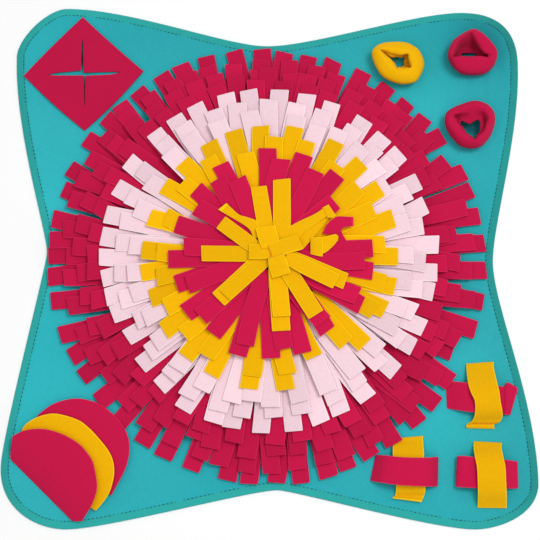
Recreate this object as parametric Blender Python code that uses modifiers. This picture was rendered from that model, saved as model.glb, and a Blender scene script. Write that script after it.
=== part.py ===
import bpy
import bmesh
import math
import random
from mathutils import Vector, geometry

# Snuffle mat: a flat four-lobed base cloth with rings of cut strips round its middle and
# four groups of sewn corner items. Metres, +Z up, the underside of the base at z = 0.

MM = 0.001
BASE_T = 3.0 * MM

# Base cloth: a thinner topstitched rim runs round its edge
RIM_T = 2.2 * MM
RIM_W = 9.0 * MM
RIM_SLOPE = 2.0 * MM
# name, x, y, handle before, handle after, direction of travel x, y (millimetres)
OUTLINE = [
    ("top waist", -3, 259, 47, 55, 1, 0),
    ("top right, top", 229, 301, 56, 43, 1, 0),
    ("top right, side", 294, 237, 43, 89, 0, -1),
    ("right waist", 257, -5, 44, 50, 0, -1),
    ("bottom right, side", 300, -254, 93, 36, 0, -1),
    ("bottom right, foot", 228, -306, 27, 46, -1, 0),
    ("bottom waist", 9, -263, 18, 29, -1, 0),
    ("bottom left, foot", -225, -306, 43, 35, -1, 0),
    ("bottom left, side", -300, -237, 46, 34, 0, 1),
    ("left waist", -256, 8, 15, 23, 0, 1),
    ("top left, side", -299, 246, 90, 23, 0, 1),
    ("top left, top", -241, 306, 24, 76, 1, 0),
]
SIDE_STEPS = 8
CORNER_STEPS = 12

# Fringe rows: strips of one width standing on an uncut heading that is sewn to the base
RING_CENTRE = (0.0, -6.0 * MM)
STRIP_W = 18.0 * MM
STRIP_T = 1.6 * MM
HEADING_W = 8.0 * MM
HEADING_Z = 4.3 * MM
RISE_RUN = 6.0 * MM
# name, colour, strips, first angle (degrees), root radius, crest height, middle radius,
# middle height, tip radius, tip height, scatter of the length (millimetres)
ROWS = [
    ("crimson_row_1", "crimson", 51, 4.7, 178, 11.0, 215, 10.0, 252, 5.6, 3.0),
    ("crimson_row_2", "crimson", 51, 8.2, 167, 16.5, 207, 15.5, 239, 11.5, 3.0),
    ("crimson_row_3", "crimson", 51, 4.7, 156, 22.0, 196, 21.0, 226, 17.5, 3.0),
    ("pink_row_1", "pink", 37, 3.6, 128, 29.0, 165, 28.5, 196, 25.0, 4.0),
    ("pink_row_2", "pink", 37, 8.5, 117, 35.0, 152, 34.0, 180, 31.0, 4.0),
    ("yellow_row", "yellow", 24, 11.4, 85, 41.0, 122, 40.0, 148, 37.5, 4.0),
    ("inner_crimson_row", "crimson", 17, 7.0, 60, 47.0, 95, 45.5, 117, 43.0, 5.0),
    ("star_row", "yellow", 8, 12.0, 27, 53.0, 60, 51.5, 84, 49.5, 4.0),
    ("star_tuft", "yellow", 4, 34.0, 12.5, 58.0, 28, 58.0, 44, 56.5, 2.0),
]
# Strips of the lowest row beside a strap cross are short: from, to (degrees), tip radius (mm)
SHORT_ROW = "crimson_row_1"
SHORT_STRIPS = [(112.0, 130.0, 235.0), (144.0, 160.0, 235.0), (208.0, 240.0, 239.0)]

# Diamond panel with a cross slit, raised a little in the middle
PANEL_CENTRE = (-219.0 * MM, 224.5 * MM)
PANEL_HALF = 71.0 * MM
PANEL_T = 1.6 * MM
PANEL_GAP = 0.5 * MM
PANEL_RISE = 8.0 * MM
PANEL_FALL = 2.2
SLIT_HALF = 44.5 * MM
LONG_SLIT_OPEN = 3.4 * MM
CROSS_SLIT_OPEN = 1.2 * MM
PANEL_STEPS = 5

# Cups: rolled rings of cloth with a closed floor
# name, colour, x, y, half width x, y, hole half width x, y (mm), turn (degrees), height (mm)
CUPS = [
    ("yellow_cup", "yellow", 148, 228, 29, 26, 11.0, 8.0, 5, 30),
    ("crimson_cup_1", "crimson", 236, 244, 29, 27, 10.0, 6.0, 10, 31),
    ("crimson_cup_2", "crimson", 231, 154, 28, 28, 11.5, 10.5, 0, 30),
]
CUP_GAP = 0.5 * MM
CUP_STEPS = 30
CUP_FOLDS = 5
CUP_FOLD_DEPTH = 0.018
# from the foot over the collar and down the well: share of the way from the hole to the
# outer edge, share of the height
CUP_PATH = [
    (0.62, 0.00),
    (0.80, 0.20),
    (0.95, 0.42),
    (1.00, 0.64),
    (0.92, 0.86),
    (0.62, 1.00),
    (0.26, 0.96),
    (0.02, 0.78),
    (0.00, 0.54),
    (0.10, 0.30),
    (0.16, 0.13),
]

# Pocket flaps: three D shapes, sewn along their straight edge, lying one over another
FLAP_HINGE = (-254.5 * MM, -262.5 * MM)
FLAP_TURN = -45.8
FLAP_HALF_WIDTH = 62.0 * MM
FLAP_DEPTH = 68.0 * MM
FLAP_SHOULDER = 14.0 * MM
FLAP_SHOULDER_TURN = 40.0
FLAP_HINGE_HALF = 30.0 * MM
FLAP_LEVEL_FROM = 34.0 * MM
FLAP_T = 1.6 * MM
FLAP_FOOT = 4.2 * MM
# name, colour, shift of the sewn edge towards the middle, lift of the round edge (mm)
FLAPS = [
    ("low_flap", "crimson", 44, 5.2),
    ("middle_flap", "yellow", 22, 12.0),
    ("top_flap", "crimson", 0, 18.8),
]
FLAP_COLUMNS = 18
FLAP_RINGS = (0.0, 0.13, 0.25, 0.38, 0.5, 0.75, 1.0)

# Strap crosses: a low arched strap with a high one over it
STRAP_T = 1.8 * MM
STRAP_TAB = 7.0 * MM
STRAP_FOOT = 4.3 * MM
STRAP_STEPS = 12
STRAP_FULLNESS = 0.55
# name, colour, x, y (mm), turn (degrees), length, width, height of the arch (mm)
STRAPS = [
    ("strap_a_low", "crimson", 241, -161, -3, 68, 32, 9.5),
    ("strap_a_high", "yellow", 243, -160, 84, 72, 32, 17.0),
    ("strap_b_low", "yellow", 155, -245, 90, 70, 33, 9.5),
    ("strap_b_high", "crimson", 153, -246, 0, 72, 33, 17.0),
    ("strap_c_low", "crimson", 243, -247, 0, 69, 33, 9.5),
    ("strap_c_high", "yellow", 244, -248, 89, 74, 34, 17.0),
]

COLOURS = {
    "teal": (0.028, 0.456, 0.509),
    "crimson": (0.577, 0.012, 0.070),
    "pink": (0.930, 0.685, 0.780),
    "yellow": (0.905, 0.515, 0.008),
}
WELD = 0.01 * MM


def clear_scene():
    for item in list(bpy.data.objects):
        bpy.data.objects.remove(item, do_unlink=True)


def cloth_material(name, colour):
    mat = bpy.data.materials.new(name)
    mat.use_nodes = True
    shader = mat.node_tree.nodes["Principled BSDF"]
    shader.inputs["Base Color"].default_value = (*COLOURS[colour], 1.0)
    shader.inputs["Roughness"].default_value = 0.9
    return mat


def add_object(collection, name, colour, bm, location=(0.0, 0.0), turn=0.0):
    """Turn a bmesh into the named object, placed on the plan and turned about the vertical."""
    bmesh.ops.recalc_face_normals(bm, faces=bm.faces[:])
    mesh = bpy.data.meshes.new(name)
    bm.to_mesh(mesh)
    bm.free()
    mesh.materials.append(cloth_material(name, colour))
    obj = bpy.data.objects.new(name, mesh)
    obj.location = (location[0], location[1], 0.0)
    obj.rotation_euler = (0.0, 0.0, math.radians(turn))
    collection.objects.link(obj)
    return obj


def thicken(obj, thickness):
    """Give an open sheet its cloth's thickness, half to each side."""
    modifier = obj.modifiers.new("thickness", "SOLIDIFY")
    modifier.thickness = thickness
    modifier.offset = 0.0
    modifier.use_even_offset = True


def sheet_grid(columns, rows, place):
    """An open grid of cloth whose corner (column, row) lies where place() puts it."""
    bm = bmesh.new()
    grid = [[bm.verts.new(place(c, r)) for r in range(rows + 1)] for c in range(columns + 1)]
    for c in range(columns):
        for r in range(rows):
            corners = (grid[c][r], grid[c + 1][r], grid[c + 1][r + 1], grid[c][r + 1])
            bm.faces.new(corners)
    return bm


def base_outline():
    """Closed curve through the outline's named points, clockwise seen from above."""
    points = []
    for i, row in enumerate(OUTLINE):
        after = OUTLINE[(i + 1) % len(OUTLINE)]
        start = Vector((*row[1:3], 0.0)) * MM
        end = Vector((*after[1:3], 0.0)) * MM
        leave = start + Vector((*row[5:7], 0.0)) * row[4] * MM
        arrive = end - Vector((*after[5:7], 0.0)) * after[3] * MM
        corner = "waist" not in row[0] and "waist" not in after[0]
        steps = CORNER_STEPS if corner else SIDE_STEPS
        points += geometry.interpolate_bezier(start, leave, arrive, end, steps + 1)[:-1]
    return points


def add_base(collection):
    """The outline as one face, pulled up to the rim's thickness, its middle a little thicker."""
    bm = bmesh.new()
    under = bm.faces.new([bm.verts.new(point) for point in base_outline()])
    pulled = bmesh.ops.extrude_face_region(bm, geom=[under], use_keep_orig=True)
    raised = [item for item in pulled["geom"] if isinstance(item, bmesh.types.BMVert)]
    bmesh.ops.translate(bm, verts=raised, vec=(0.0, 0.0, RIM_T))
    top = [item for item in pulled["geom"] if isinstance(item, bmesh.types.BMFace)]
    bmesh.ops.recalc_face_normals(bm, faces=bm.faces[:])
    bmesh.ops.inset_region(bm, faces=top, thickness=RIM_W, use_even_offset=True)
    rise = BASE_T - RIM_T
    bmesh.ops.inset_region(bm, faces=top, thickness=RIM_SLOPE, depth=rise, use_even_offset=True)
    return add_object(collection, "base_cloth", "teal", bm)


def tip_radius(name, angle, tip_r):
    if name == SHORT_ROW:
        for start, end, short in SHORT_STRIPS:
            if start <= angle % 360.0 <= end:
                return short
    return tip_r


def add_fringe_row(collection, row, rng):
    """A comb of cloth: an uncut ring sewn to the base, its strips cut apart from there out.

    Every second column of the grid is a strip; the columns between are cut away past the root.
    """
    name, colour, count, first, root, crest, mid_r, mid_z, tip_r, tip_z, scatter = row
    strips = []
    for k in range(count):
        angle = first + 360.0 * k / count
        reach = tip_radius(name, angle, tip_r) - rng.uniform(0.0, scatter)
        strips.append((math.radians(angle), reach))

    def place(column, level):
        turn, reach = strips[(column // 2) % count]
        radius = (root - HEADING_W / MM, root, root + RISE_RUN / MM, mid_r, reach)[level]
        height = (HEADING_Z / MM, HEADING_Z / MM, crest, mid_z, tip_z)[level]
        half = 0.5 * STRIP_W / MM * (1.0 if level else radius / root)
        side = half if column % 2 else -half
        x = radius * math.sin(turn) + side * math.cos(turn)
        y = radius * math.cos(turn) - side * math.sin(turn)
        return (x * MM, y * MM, height * MM)

    columns = 2 * count
    bm = sheet_grid(columns, 4, place)
    bm.faces.ensure_lookup_table()
    cut = [bm.faces[4 * c + r] for c in range(1, columns, 2) for r in range(1, 4)]
    bmesh.ops.delete(bm, geom=cut, context="FACES")
    bmesh.ops.remove_doubles(bm, verts=bm.verts[:], dist=WELD)
    obj = add_object(collection, name, colour, bm, RING_CENTRE)
    thicken(obj, STRIP_T)
    return obj


def add_panel(collection):
    """Four quarter sheets that join beyond the ends of the slits, as one pillowed diamond."""
    bm = bmesh.new()
    for sign_x, sign_y in ((1, 1), (-1, 1), (-1, -1), (1, -1)):

        def place(column, row):
            u = column / PANEL_STEPS
            v = row / PANEL_STEPS
            x = u * (1.0 - 0.5 * v)
            y = v * (1.0 - 0.5 * u)
            rise = PANEL_RISE * (1.0 - min(1.0, x + y) ** PANEL_FALL)
            gape_x = max(0.0, 1.0 - y * PANEL_HALF / SLIT_HALF) if column == 0 else 0.0
            gape_y = max(0.0, 1.0 - x * PANEL_HALF / SLIT_HALF) if row == 0 else 0.0
            px = x * PANEL_HALF + CROSS_SLIT_OPEN * gape_x
            py = y * PANEL_HALF + LONG_SLIT_OPEN * gape_y
            return (sign_x * px, sign_y * py, BASE_T + PANEL_GAP + 0.5 * PANEL_T + rise)

        quarter = sheet_grid(PANEL_STEPS, PANEL_STEPS, place)
        mesh = bpy.data.meshes.new("quarter")
        quarter.to_mesh(mesh)
        quarter.free()
        bm.from_mesh(mesh)
        bpy.data.meshes.remove(mesh)
    bmesh.ops.remove_doubles(bm, verts=bm.verts[:], dist=WELD)
    obj = add_object(collection, "slit_panel", "crimson", bm, PANEL_CENTRE)
    thicken(obj, PANEL_T)
    return obj


def add_cup(collection, row):
    """A loft from the foot over the rolled collar and down the well.

    Its outer rings are nearly round and its inner ones a flatter oval, so no turned profile
    fits it.
    """
    name, colour, x, y, out_x, out_y, hole_x, hole_y, turn, height = row
    bm = bmesh.new()
    rings = []
    for share, lift in CUP_PATH:
        ring = []
        for k in range(CUP_STEPS):
            t = 2.0 * math.pi * k / CUP_STEPS
            fold = 1.0 + CUP_FOLD_DEPTH * math.sin(CUP_FOLDS * t) * share
            px = (hole_x + (out_x - hole_x) * share) * fold * math.cos(t)
            py = (hole_y + (out_y - hole_y) * share) * fold * math.sin(t)
            z = BASE_T + CUP_GAP + lift * height * MM
            ring.append(bm.verts.new((px * MM, py * MM, z)))
        rings.append(ring)
    for low, high in zip(rings, rings[1:]):
        for k in range(CUP_STEPS):
            j = (k + 1) % CUP_STEPS
            bm.faces.new((low[k], low[j], high[j], high[k]))
    bm.faces.new(rings[0])
    bm.faces.new(rings[-1])
    for face in bm.faces:
        face.smooth = len(face.verts) == 4
    return add_object(collection, name, colour, bm, (x * MM, y * MM), turn)


def flap_edge(share):
    """Round free edge of the D, running into two rounded corners at the sewn edge."""
    corner = math.radians(FLAP_SHOULDER_TURN)
    t = -corner + (math.pi + 2.0 * corner) * share
    if math.sin(t) >= 0.0:
        v = FLAP_SHOULDER + (FLAP_DEPTH - FLAP_SHOULDER) * math.sin(t)
    else:
        v = FLAP_SHOULDER * (1.0 + math.sin(t) / math.sin(corner))
    return FLAP_HALF_WIDTH * math.cos(t), max(0.0, v)


def flap_rise(v):
    """Share of a flap's lift: none at the sewn edge, all of it from half its depth outward."""
    s = min(1.0, max(0.0, v / FLAP_LEVEL_FROM))
    return s * s * (3.0 - 2.0 * s)


def add_flap(collection, row):
    """A D-shaped sheet, flat on the base where it is sewn and lifted towards its round edge."""
    name, colour, shift, lift = row
    turn = math.radians(FLAP_TURN)
    inward = Vector((-math.sin(turn), math.cos(turn)))
    origin = Vector(FLAP_HINGE) + inward * shift * MM

    def place(column, ring):
        share = FLAP_RINGS[ring]
        edge_u, edge_v = flap_edge(column / FLAP_COLUMNS)
        hinge_u = FLAP_HINGE_HALF * (1.0 - 2.0 * column / FLAP_COLUMNS)
        u = hinge_u + (edge_u - hinge_u) * share
        v = edge_v * share
        return (u, v, FLAP_FOOT + lift * MM * flap_rise(v))

    bm = sheet_grid(FLAP_COLUMNS, len(FLAP_RINGS) - 1, place)
    obj = add_object(collection, name, colour, bm, origin, FLAP_TURN)
    thicken(obj, FLAP_T)
    return obj


def add_strap(collection, row):
    """A strip of even width: a flat tab, an arch and a flat tab."""
    name, colour, x, y, turn, length, width, height = row
    half = 0.5 * length * MM
    span = 2.0 * (half - STRAP_TAB)

    def place(step, side):
        if step in (0, STRAP_STEPS + 2):
            along = -half if step == 0 else half
            rise = 0.0
        else:
            turn_share = (step - 1) / STRAP_STEPS
            share = 0.5 - 0.5 * math.cos(math.pi * turn_share)
            along = STRAP_TAB - half + span * share
            rise = max(0.0, math.sin(math.pi * share)) ** STRAP_FULLNESS
            rise = rise if 0 < turn_share < 1 else 0.0
        return (along, (side - 0.5) * width * MM, STRAP_FOOT + height * MM * rise)

    bm = sheet_grid(STRAP_STEPS + 2, 1, place)
    obj = add_object(collection, name, colour, bm, (x * MM, y * MM), turn)
    thicken(obj, STRAP_T)
    return obj


def main():
    clear_scene()
    collection = bpy.data.collections.new("snuffle_mat")
    bpy.context.scene.collection.children.link(collection)
    rng = random.Random(7)
    add_base(collection)
    for row in ROWS:
        add_fringe_row(collection, row, rng)
    add_panel(collection)
    for row in CUPS:
        add_cup(collection, row)
    for row in FLAPS:
        add_flap(collection, row)
    for row in STRAPS:
        add_strap(collection, row)


main()
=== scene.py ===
import bmesh
import bpy
import numpy as np
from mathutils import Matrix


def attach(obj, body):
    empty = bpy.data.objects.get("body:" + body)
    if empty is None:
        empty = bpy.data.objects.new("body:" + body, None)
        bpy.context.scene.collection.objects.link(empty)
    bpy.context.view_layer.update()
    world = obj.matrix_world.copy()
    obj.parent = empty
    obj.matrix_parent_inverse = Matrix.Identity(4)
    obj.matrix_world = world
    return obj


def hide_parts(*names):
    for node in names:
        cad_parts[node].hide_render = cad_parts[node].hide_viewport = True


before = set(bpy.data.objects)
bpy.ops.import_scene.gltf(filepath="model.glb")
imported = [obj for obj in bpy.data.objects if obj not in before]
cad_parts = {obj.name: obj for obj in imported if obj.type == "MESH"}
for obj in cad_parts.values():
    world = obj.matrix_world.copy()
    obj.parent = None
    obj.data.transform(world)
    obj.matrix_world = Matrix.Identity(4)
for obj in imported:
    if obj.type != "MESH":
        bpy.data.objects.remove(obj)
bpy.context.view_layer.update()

# Camera, lights and floor: the mat lies on a plain pale floor and is looked at from above its
# front edge, 12 degrees off the vertical, under even daylight with a soft key from the back right.
CAMERA_AT = (0.00074, -0.36703, 1.66962)
CAMERA_TILT = np.radians(12.0)
CAMERA_FOCUS = 1485.0
VIEW_MIDDLE = 270.0
VIEW_SIDE = 540.0
SENSOR = 36.0
FLOOR_HALF = 3.0
FLOOR_DROP = 0.0004
CORNERS = ((-1, -1), (1, -1), (1, 1), (-1, 1))
FLOOR_COLOUR = (0.99, 0.99, 0.99, 1.0)
KEY_LIGHT = {"at": (0.85, 0.35, 2.25), "size": 0.8, "power": 22.5}
TOP_LIGHT = {"at": (-0.3, -0.7, 2.8), "size": 3.0, "power": 22.5}
SKY_STRENGTH = 0.50


def view_point(u, v, height):
    """Where the sight line through (u, v) of the view meets a level, in metres.

    The ray leaves the camera along forward + right (u - middle) / focus - up (v - middle) /
    focus, and is run on until it has come down to the height.
    """
    across = (np.asarray(u, float) - VIEW_MIDDLE) / CAMERA_FOCUS
    above = (VIEW_MIDDLE - np.asarray(v, float)) / CAMERA_FOCUS
    ray_y = np.sin(CAMERA_TILT) + above * np.cos(CAMERA_TILT)
    ray_z = above * np.sin(CAMERA_TILT) - np.cos(CAMERA_TILT)
    run = (height - CAMERA_AT[2]) / ray_z
    return CAMERA_AT[0] + run * across, CAMERA_AT[1] + run * ray_y


def placed(name, data):
    """An object of the scene that holds a mesh, a lamp or a camera."""
    obj = bpy.data.objects.new(name, data)
    bpy.context.scene.collection.objects.link(obj)
    return obj


def area_light(name, light):
    """A square lamp at its place, turned so that it looks at the middle of the mat."""
    lamp = bpy.data.lights.new(name, "AREA")
    lamp.energy = light["power"]
    lamp.size = light["size"]
    obj = placed(name, lamp)
    obj.location = light["at"]
    x, y, z = light["at"]
    obj.rotation_euler = (np.arctan2(np.hypot(x, y), z), 0.0, np.arctan2(x, -y))


def set_inputs(item, values):
    """Give a node's inputs their values, by name."""
    for label, value in values.items():
        item.inputs[label].default_value = value


camera = placed("camera", bpy.data.cameras.new("camera"))
camera.data.sensor_width = SENSOR
camera.data.lens = CAMERA_FOCUS / VIEW_SIDE * SENSOR
camera.location = CAMERA_AT
camera.rotation_euler = (CAMERA_TILT, 0.0, 0.0)
bpy.context.scene.camera = camera
area_light("key_light", KEY_LIGHT)
area_light("top_light", TOP_LIGHT)
world = bpy.data.worlds.new("sky")
world.use_nodes = True
sky = {"Color": (1.0, 1.0, 1.0, 1.0), "Strength": SKY_STRENGTH}
set_inputs(world.node_tree.nodes["Background"], sky)
bpy.context.scene.world = world
bpy.context.scene.view_settings.view_transform = "Standard"

floor_mesh = bpy.data.meshes.new("floor")
floor_mesh.from_pydata(
    [(x * FLOOR_HALF, y * FLOOR_HALF, -FLOOR_DROP) for x, y in CORNERS],
    [],
    [(0, 1, 2, 3)],
)
floor = placed("floor", floor_mesh)
floor_paint = bpy.data.materials.new("floor_paper")
floor_paint.use_nodes = True
set_inputs(
    floor_paint.node_tree.nodes["Principled BSDF"],
    {"Base Color": FLOOR_COLOUR, "Roughness": 0.95, "Specular IOR Level": 0.1},
)
floor_mesh.materials.append(floor_paint)

# Base cloth: one teal felt sheet with four rounded corners and drawn-in sides. Its edge is turned
# under and sewn down, which leaves a band that looks a little darker and pulls in small puckers.
MM = 0.001
# each anchor: x, y, handle before, handle after (mm), direction of the handles
OUTLINE = [
    (-3, 259, 47, 55, (1, 0)),  # top waist
    (229, 301, 56, 43, (1, 0)),  # top right top
    (294, 237, 43, 89, (0, -1)),  # top right side
    (257, -5, 44, 50, (0, -1)),  # right waist
    (300, -254, 93, 36, (0, -1)),  # bottom right side
    (228, -306, 27, 46, (-1, 0)),  # bottom right foot
    (9, -263, 18, 29, (-1, 0)),  # bottom waist
    (-225, -306, 43, 35, (-1, 0)),  # bottom left foot
    (-300, -237, 46, 34, (0, 1)),  # bottom left side
    (-256, 8, 15, 23, (0, 1)),  # left waist
    (-299, 246, 90, 23, (0, 1)),  # top left side
    (-241, 306, 24, 76, (1, 0)),  # top left top
]
SIDE_STEPS = 160
OUTLINE_POINTS = 720
# across the turned edge, from the middle of the underside round to the sewn groove and on to
# the plain cloth: distance in from the outline, height (mm)
EDGE_PROFILE = np.array([
    (14.0, 0.00), (2.0, 0.00), (0.75, 0.12), (0.18, 0.55), (0.0, 1.10), (0.18, 1.65),
    (0.75, 2.10), (1.8, 2.38), (4.8, 2.56), (7.4, 2.50), (8.1, 2.40), (8.5, 2.34),
    (8.9, 2.42), (9.8, 2.66), (11.7, 2.90), (14.0, 3.00),
])
SEAM_IN = 8.5
SEAM_HEIGHT = 2.34
# rings of the plain cloth, as a share of the way from the middle to the turned edge
CLOTH_RINGS = np.concatenate([np.linspace(0.99, 0.58, 42), [0.5, 0.4, 0.25]])
CLOTH_TOP = 3.0
# slow waves of the plain cloth: height, then their lengths across, up and cornerwise (mm)
CLOTH_WAVE = 0.45
WAVE_ACROSS, WAVE_UP, WAVE_CORNERWISE = 31.0, 27.0, 17.0
# the band's puckers: depth, pitch (mm) and ratio of the second, how wide they run and how far
# they dip (mm); the band's top side is above the height given last
PUCKER_DEPTH = 0.28
PUCKER_PITCH, PUCKER_RATIO = 23.0, 1.62
PUCKER_SPREAD = 6.0
PUCKER_DIP = 0.25
BAND_TOP = 1.2
HEM_WIDTH = 8.6
# how far a wrinkle wanders (mm) and how fast, and the dips beside it: share of its height, place
# in widths
WRINKLE_WANDER, WRINKLE_TURNS = 2.5, 2.2
DIP_SHARE = 0.35
DIP_PLACE = 2.2
# soft wrinkles: middle x, y (mm), direction (degrees), half length, half width, height (mm)
WRINKLES = np.array([
    (246, 225, 88, 46, 4.5, 0.9), (264, 236, 84, 36, 4.0, 0.8), (232, 148, 84, 40, 6.0, 0.9),
    (254, 150, 96, 30, 5.0, 0.7), (262, 95, 92, 34, 5.0, 0.8), (268, 282, 40, 22, 5.0, 1.6),
    (284, 262, 55, 26, 4.5, 1.5), (250, 264, 62, 20, 4.0, 1.4), (268, 248, 76, 22, 4.0, 1.2),
    (190, 268, 12, 30, 6.0, 0.6), (150, 240, 150, 24, 6.0, 0.5),
    (-276, 120, 96, 48, 6.0, 0.7), (-268, -60, 86, 50, 7.0, 0.6), (-262, -150, 80, 30, 5.0, 0.7),
    (-285, 262, 60, 22, 4.0, 0.7), (-120, 282, 168, 40, 7.0, 0.5), (60, 268, 8, 34, 6.0, 0.5),
    (262, -70, 92, 36, 5.0, 0.6), (282, -170, 80, 34, 6.0, 0.7), (180, -215, 35, 26, 6.0, 0.5),
    (120, -282, 165, 36, 6.0, 0.5), (-150, -288, 12, 42, 7.0, 0.6), (-285, -205, 70, 26, 5.0, 0.6),
])
# broad patches of lighter and darker nap, partly painted light and shade across the felt, and
# small deep patches of painted shade in the cup wells, under the panel's upright slit and beside
# wrinkles: x, y, radius (mm), share
NAP_TONE_AND_PAINTED_LIGHT_PATCHES = np.array([
    (268, 292, 44, -0.32), (300, 190, 40, -0.12), (-262, 30, 60, 0.20), (-270, -150, 60, 0.16),
    (282, -262, 46, -0.18), (-270, 285, 42, 0.02), (212, 190, 40, 0.04), (290, 40, 62, -0.16),
    (296, -110, 60, -0.17), (110, -250, 60, -0.04), (0, 262, 70, -0.13), (140, 285, 60, -0.10),
    (-130, 285, 50, -0.10), (178, -178, 34, 0.14), (222, -120, 26, 0.06), (175, 175, 26, 0.06),
    (250, 266, 13, -0.14), (268, 248, 11, -0.12), (236, 156.5, 9, -0.70), (233, 248.5, 8, -0.58),
    (-222, 262, 8, -0.76), (-221, 244, 7, -0.76), (-217, 209, 7, -0.70), (-217, 192, 8, -0.70),
    (-220, 235, 5, -0.45),
])
TEAL = (0.016, 0.368, 0.418, 1.0)
TEAL_PALE = (0.042, 0.488, 0.535, 1.0)
TEAL_HEM = (0.024, 0.335, 0.318, 1.0)
HEM_LIGHTER = 0.24


def read_along(curve, run, at):
    """Points of a curve (n, k) at places on its running length, by straight lines."""
    return np.stack([np.interp(at, run, column) for column in curve.T], 1)


def closed_outline(count):
    """Points an equal way apart on the outline, the ways in and along it, and its length.

    Each side is a cubic curve between two anchors; the points are read off the running length.
    """
    place = np.array([row[:2] for row in OUTLINE], float)
    heading = np.array([row[4] for row in OUTLINE], float)
    before, after = np.array([row[2:4] for row in OUTLINE], float).T[..., None]
    leave = place + heading * after
    arrive = np.roll(place - heading * before, -1, axis=0)
    end = np.roll(place, -1, axis=0)
    t = np.linspace(0.0, 1.0, SIDE_STEPS, endpoint=False)[None, :, None]
    curve = (
        (1 - t) ** 3 * place[:, None]
        + 3 * (1 - t) ** 2 * t * leave[:, None]
        + 3 * (1 - t) * t ** 2 * arrive[:, None]
        + t ** 3 * end[:, None]
    ).reshape(-1, 2)
    looped = np.vstack([curve, curve[:1]])
    run = np.concatenate([[0.0], np.cumsum(np.hypot(*np.diff(looped, axis=0).T))])
    at = np.linspace(0.0, run[-1], count, endpoint=False)
    points = read_along(looped, run, at)
    along = np.roll(points, -1, axis=0) - np.roll(points, 1, axis=0)
    along /= np.linalg.norm(along, axis=1)[:, None]
    return points, np.stack([along[:, 1], -along[:, 0]], 1), along, run[-1]


def loop_faces(rings, count):
    """Quads between neighbouring closed rings of count points each."""
    i = np.arange(rings - 1)[:, None] * count
    j = np.arange(count)[None, :]
    k = (j + 1) % count
    return np.stack([i + j, i + k, i + count + k, i + count + j], -1).reshape(-1, 4)


def new_piece(name, points, faces, attributes=(), sharp=None):
    """A mesh object from arrays: points (n, 3) in metres and faces as rows of point numbers.

    attributes holds (name, domain, values); sharp is the angle above which an edge stays crisp.
    """
    mesh = bpy.data.meshes.new(name)
    mesh.from_pydata(np.asarray(points).reshape(-1, 3).tolist(), [], faces)
    for label, domain, values in attributes:
        layer = mesh.attributes.new(label, "FLOAT", domain)
        layer.data.foreach_set("value", np.asarray(values, np.float32).ravel())
    mesh.update()
    mesh.shade_smooth()
    if sharp is not None:
        mesh.set_sharp_from_angle(angle=np.radians(sharp))
    return placed(name, mesh)


def wrinkle_height(plan):
    """Height of the soft wrinkles at places (n, 2), in millimetres.

    Each is a ridge along a line that wanders a little: a bell across it times a bell along it.
    A share of it is taken off again to either side, so that the cloth dips beside the ridge.
    """
    offset = plan[:, None] - WRINKLES[None, :, :2]
    turn = np.radians(WRINKLES[:, 2])
    along = offset[..., 0] * np.cos(turn) + offset[..., 1] * np.sin(turn)
    across = offset[..., 1] * np.cos(turn) - offset[..., 0] * np.sin(turn)
    across = across + WRINKLE_WANDER * np.sin(along / WRINKLES[:, 3] * WRINKLE_TURNS)
    length, width, height = WRINKLES[:, 3], WRINKLES[:, 4], WRINKLES[:, 5]
    ridge = np.exp(-0.5 * (across / width) ** 2)
    dip = np.exp(-0.5 * ((np.abs(across) - DIP_PLACE * width) / width) ** 2)
    return (height * (ridge - DIP_SHARE * dip) * np.exp(-0.5 * (along / length) ** 2)).sum(axis=1)


def painted_light_and_tone_at(plan):
    """Share by which the felt is made lighter or darker at places (n, 2), nap tone and painted
    light and shade: a sum of round bells.
    """
    gap = np.linalg.norm(plan[:, None] - NAP_TONE_AND_PAINTED_LIGHT_PATCHES[None, :, :2], axis=-1)
    return (NAP_TONE_AND_PAINTED_LIGHT_PATCHES[:, 3] * np.exp(-0.5 * (gap / NAP_TONE_AND_PAINTED_LIGHT_PATCHES[:, 2]) ** 2)).sum(axis=1)


edge_points, edge_inward, _, edge_length = closed_outline(OUTLINE_POINTS)
edge_run = np.linspace(0.0, edge_length, OUTLINE_POINTS, endpoint=False)
pucker = (
    np.sin(edge_run / PUCKER_PITCH * 2 * np.pi)
    + np.sin(edge_run / (PUCKER_PITCH * PUCKER_RATIO) * 2 * np.pi + 1.3)
)
rings = []
for inset, height in EDGE_PROFILE:
    raised = 1.0 if height > BAND_TOP else 0.0
    swell = PUCKER_DEPTH * raised * pucker * np.exp(-((inset - SEAM_IN) / PUCKER_SPREAD) ** 2)
    ring = edge_points + edge_inward * inset
    rings.append(np.column_stack([ring, height + np.maximum(swell, -PUCKER_DIP)]))
seam_ring = rings[-1][:, :2]
middle = seam_ring.mean(axis=0)
for share in CLOTH_RINGS:
    ring = middle + (seam_ring - middle) * share
    wave = CLOTH_WAVE * (
        np.sin(ring[:, 0] / WAVE_ACROSS + 0.6) * np.cos(ring[:, 1] / WAVE_UP)
        + 0.6 * np.sin((ring[:, 0] + ring[:, 1]) / WAVE_CORNERWISE)
    )
    wave = wave + wrinkle_height(ring)
    rings.append(np.column_stack([ring, CLOTH_TOP + wave * min(1.0, (1.0 - share) * 14.0)]))
centre_top = np.array([[middle[0], middle[1], CLOTH_TOP]])
centre_under = np.array([[middle[0], middle[1], 0.0]])
cloth_points = np.vstack(rings + [centre_top, centre_under])
cloth_quads = loop_faces(len(rings), OUTLINE_POINTS)[:, ::-1]
around = np.arange(OUTLINE_POINTS)
after = (around + 1) % OUTLINE_POINTS
last_ring = (len(rings) - 1) * OUTLINE_POINTS
centre_number = len(rings) * OUTLINE_POINTS
top_fan = np.stack([last_ring + after, last_ring + around, around * 0 + centre_number], 1)
under_fan = np.stack([around, after, around * 0 + centre_number + 1], 1)
hem_mask = np.concatenate([
    np.full(OUTLINE_POINTS, 1.0 if inset < HEM_WIDTH and height > 0.2 else 0.0)
    for inset, height in EDGE_PROFILE
] + [np.zeros(OUTLINE_POINTS * len(CLOTH_RINGS) + 2)])
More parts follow.
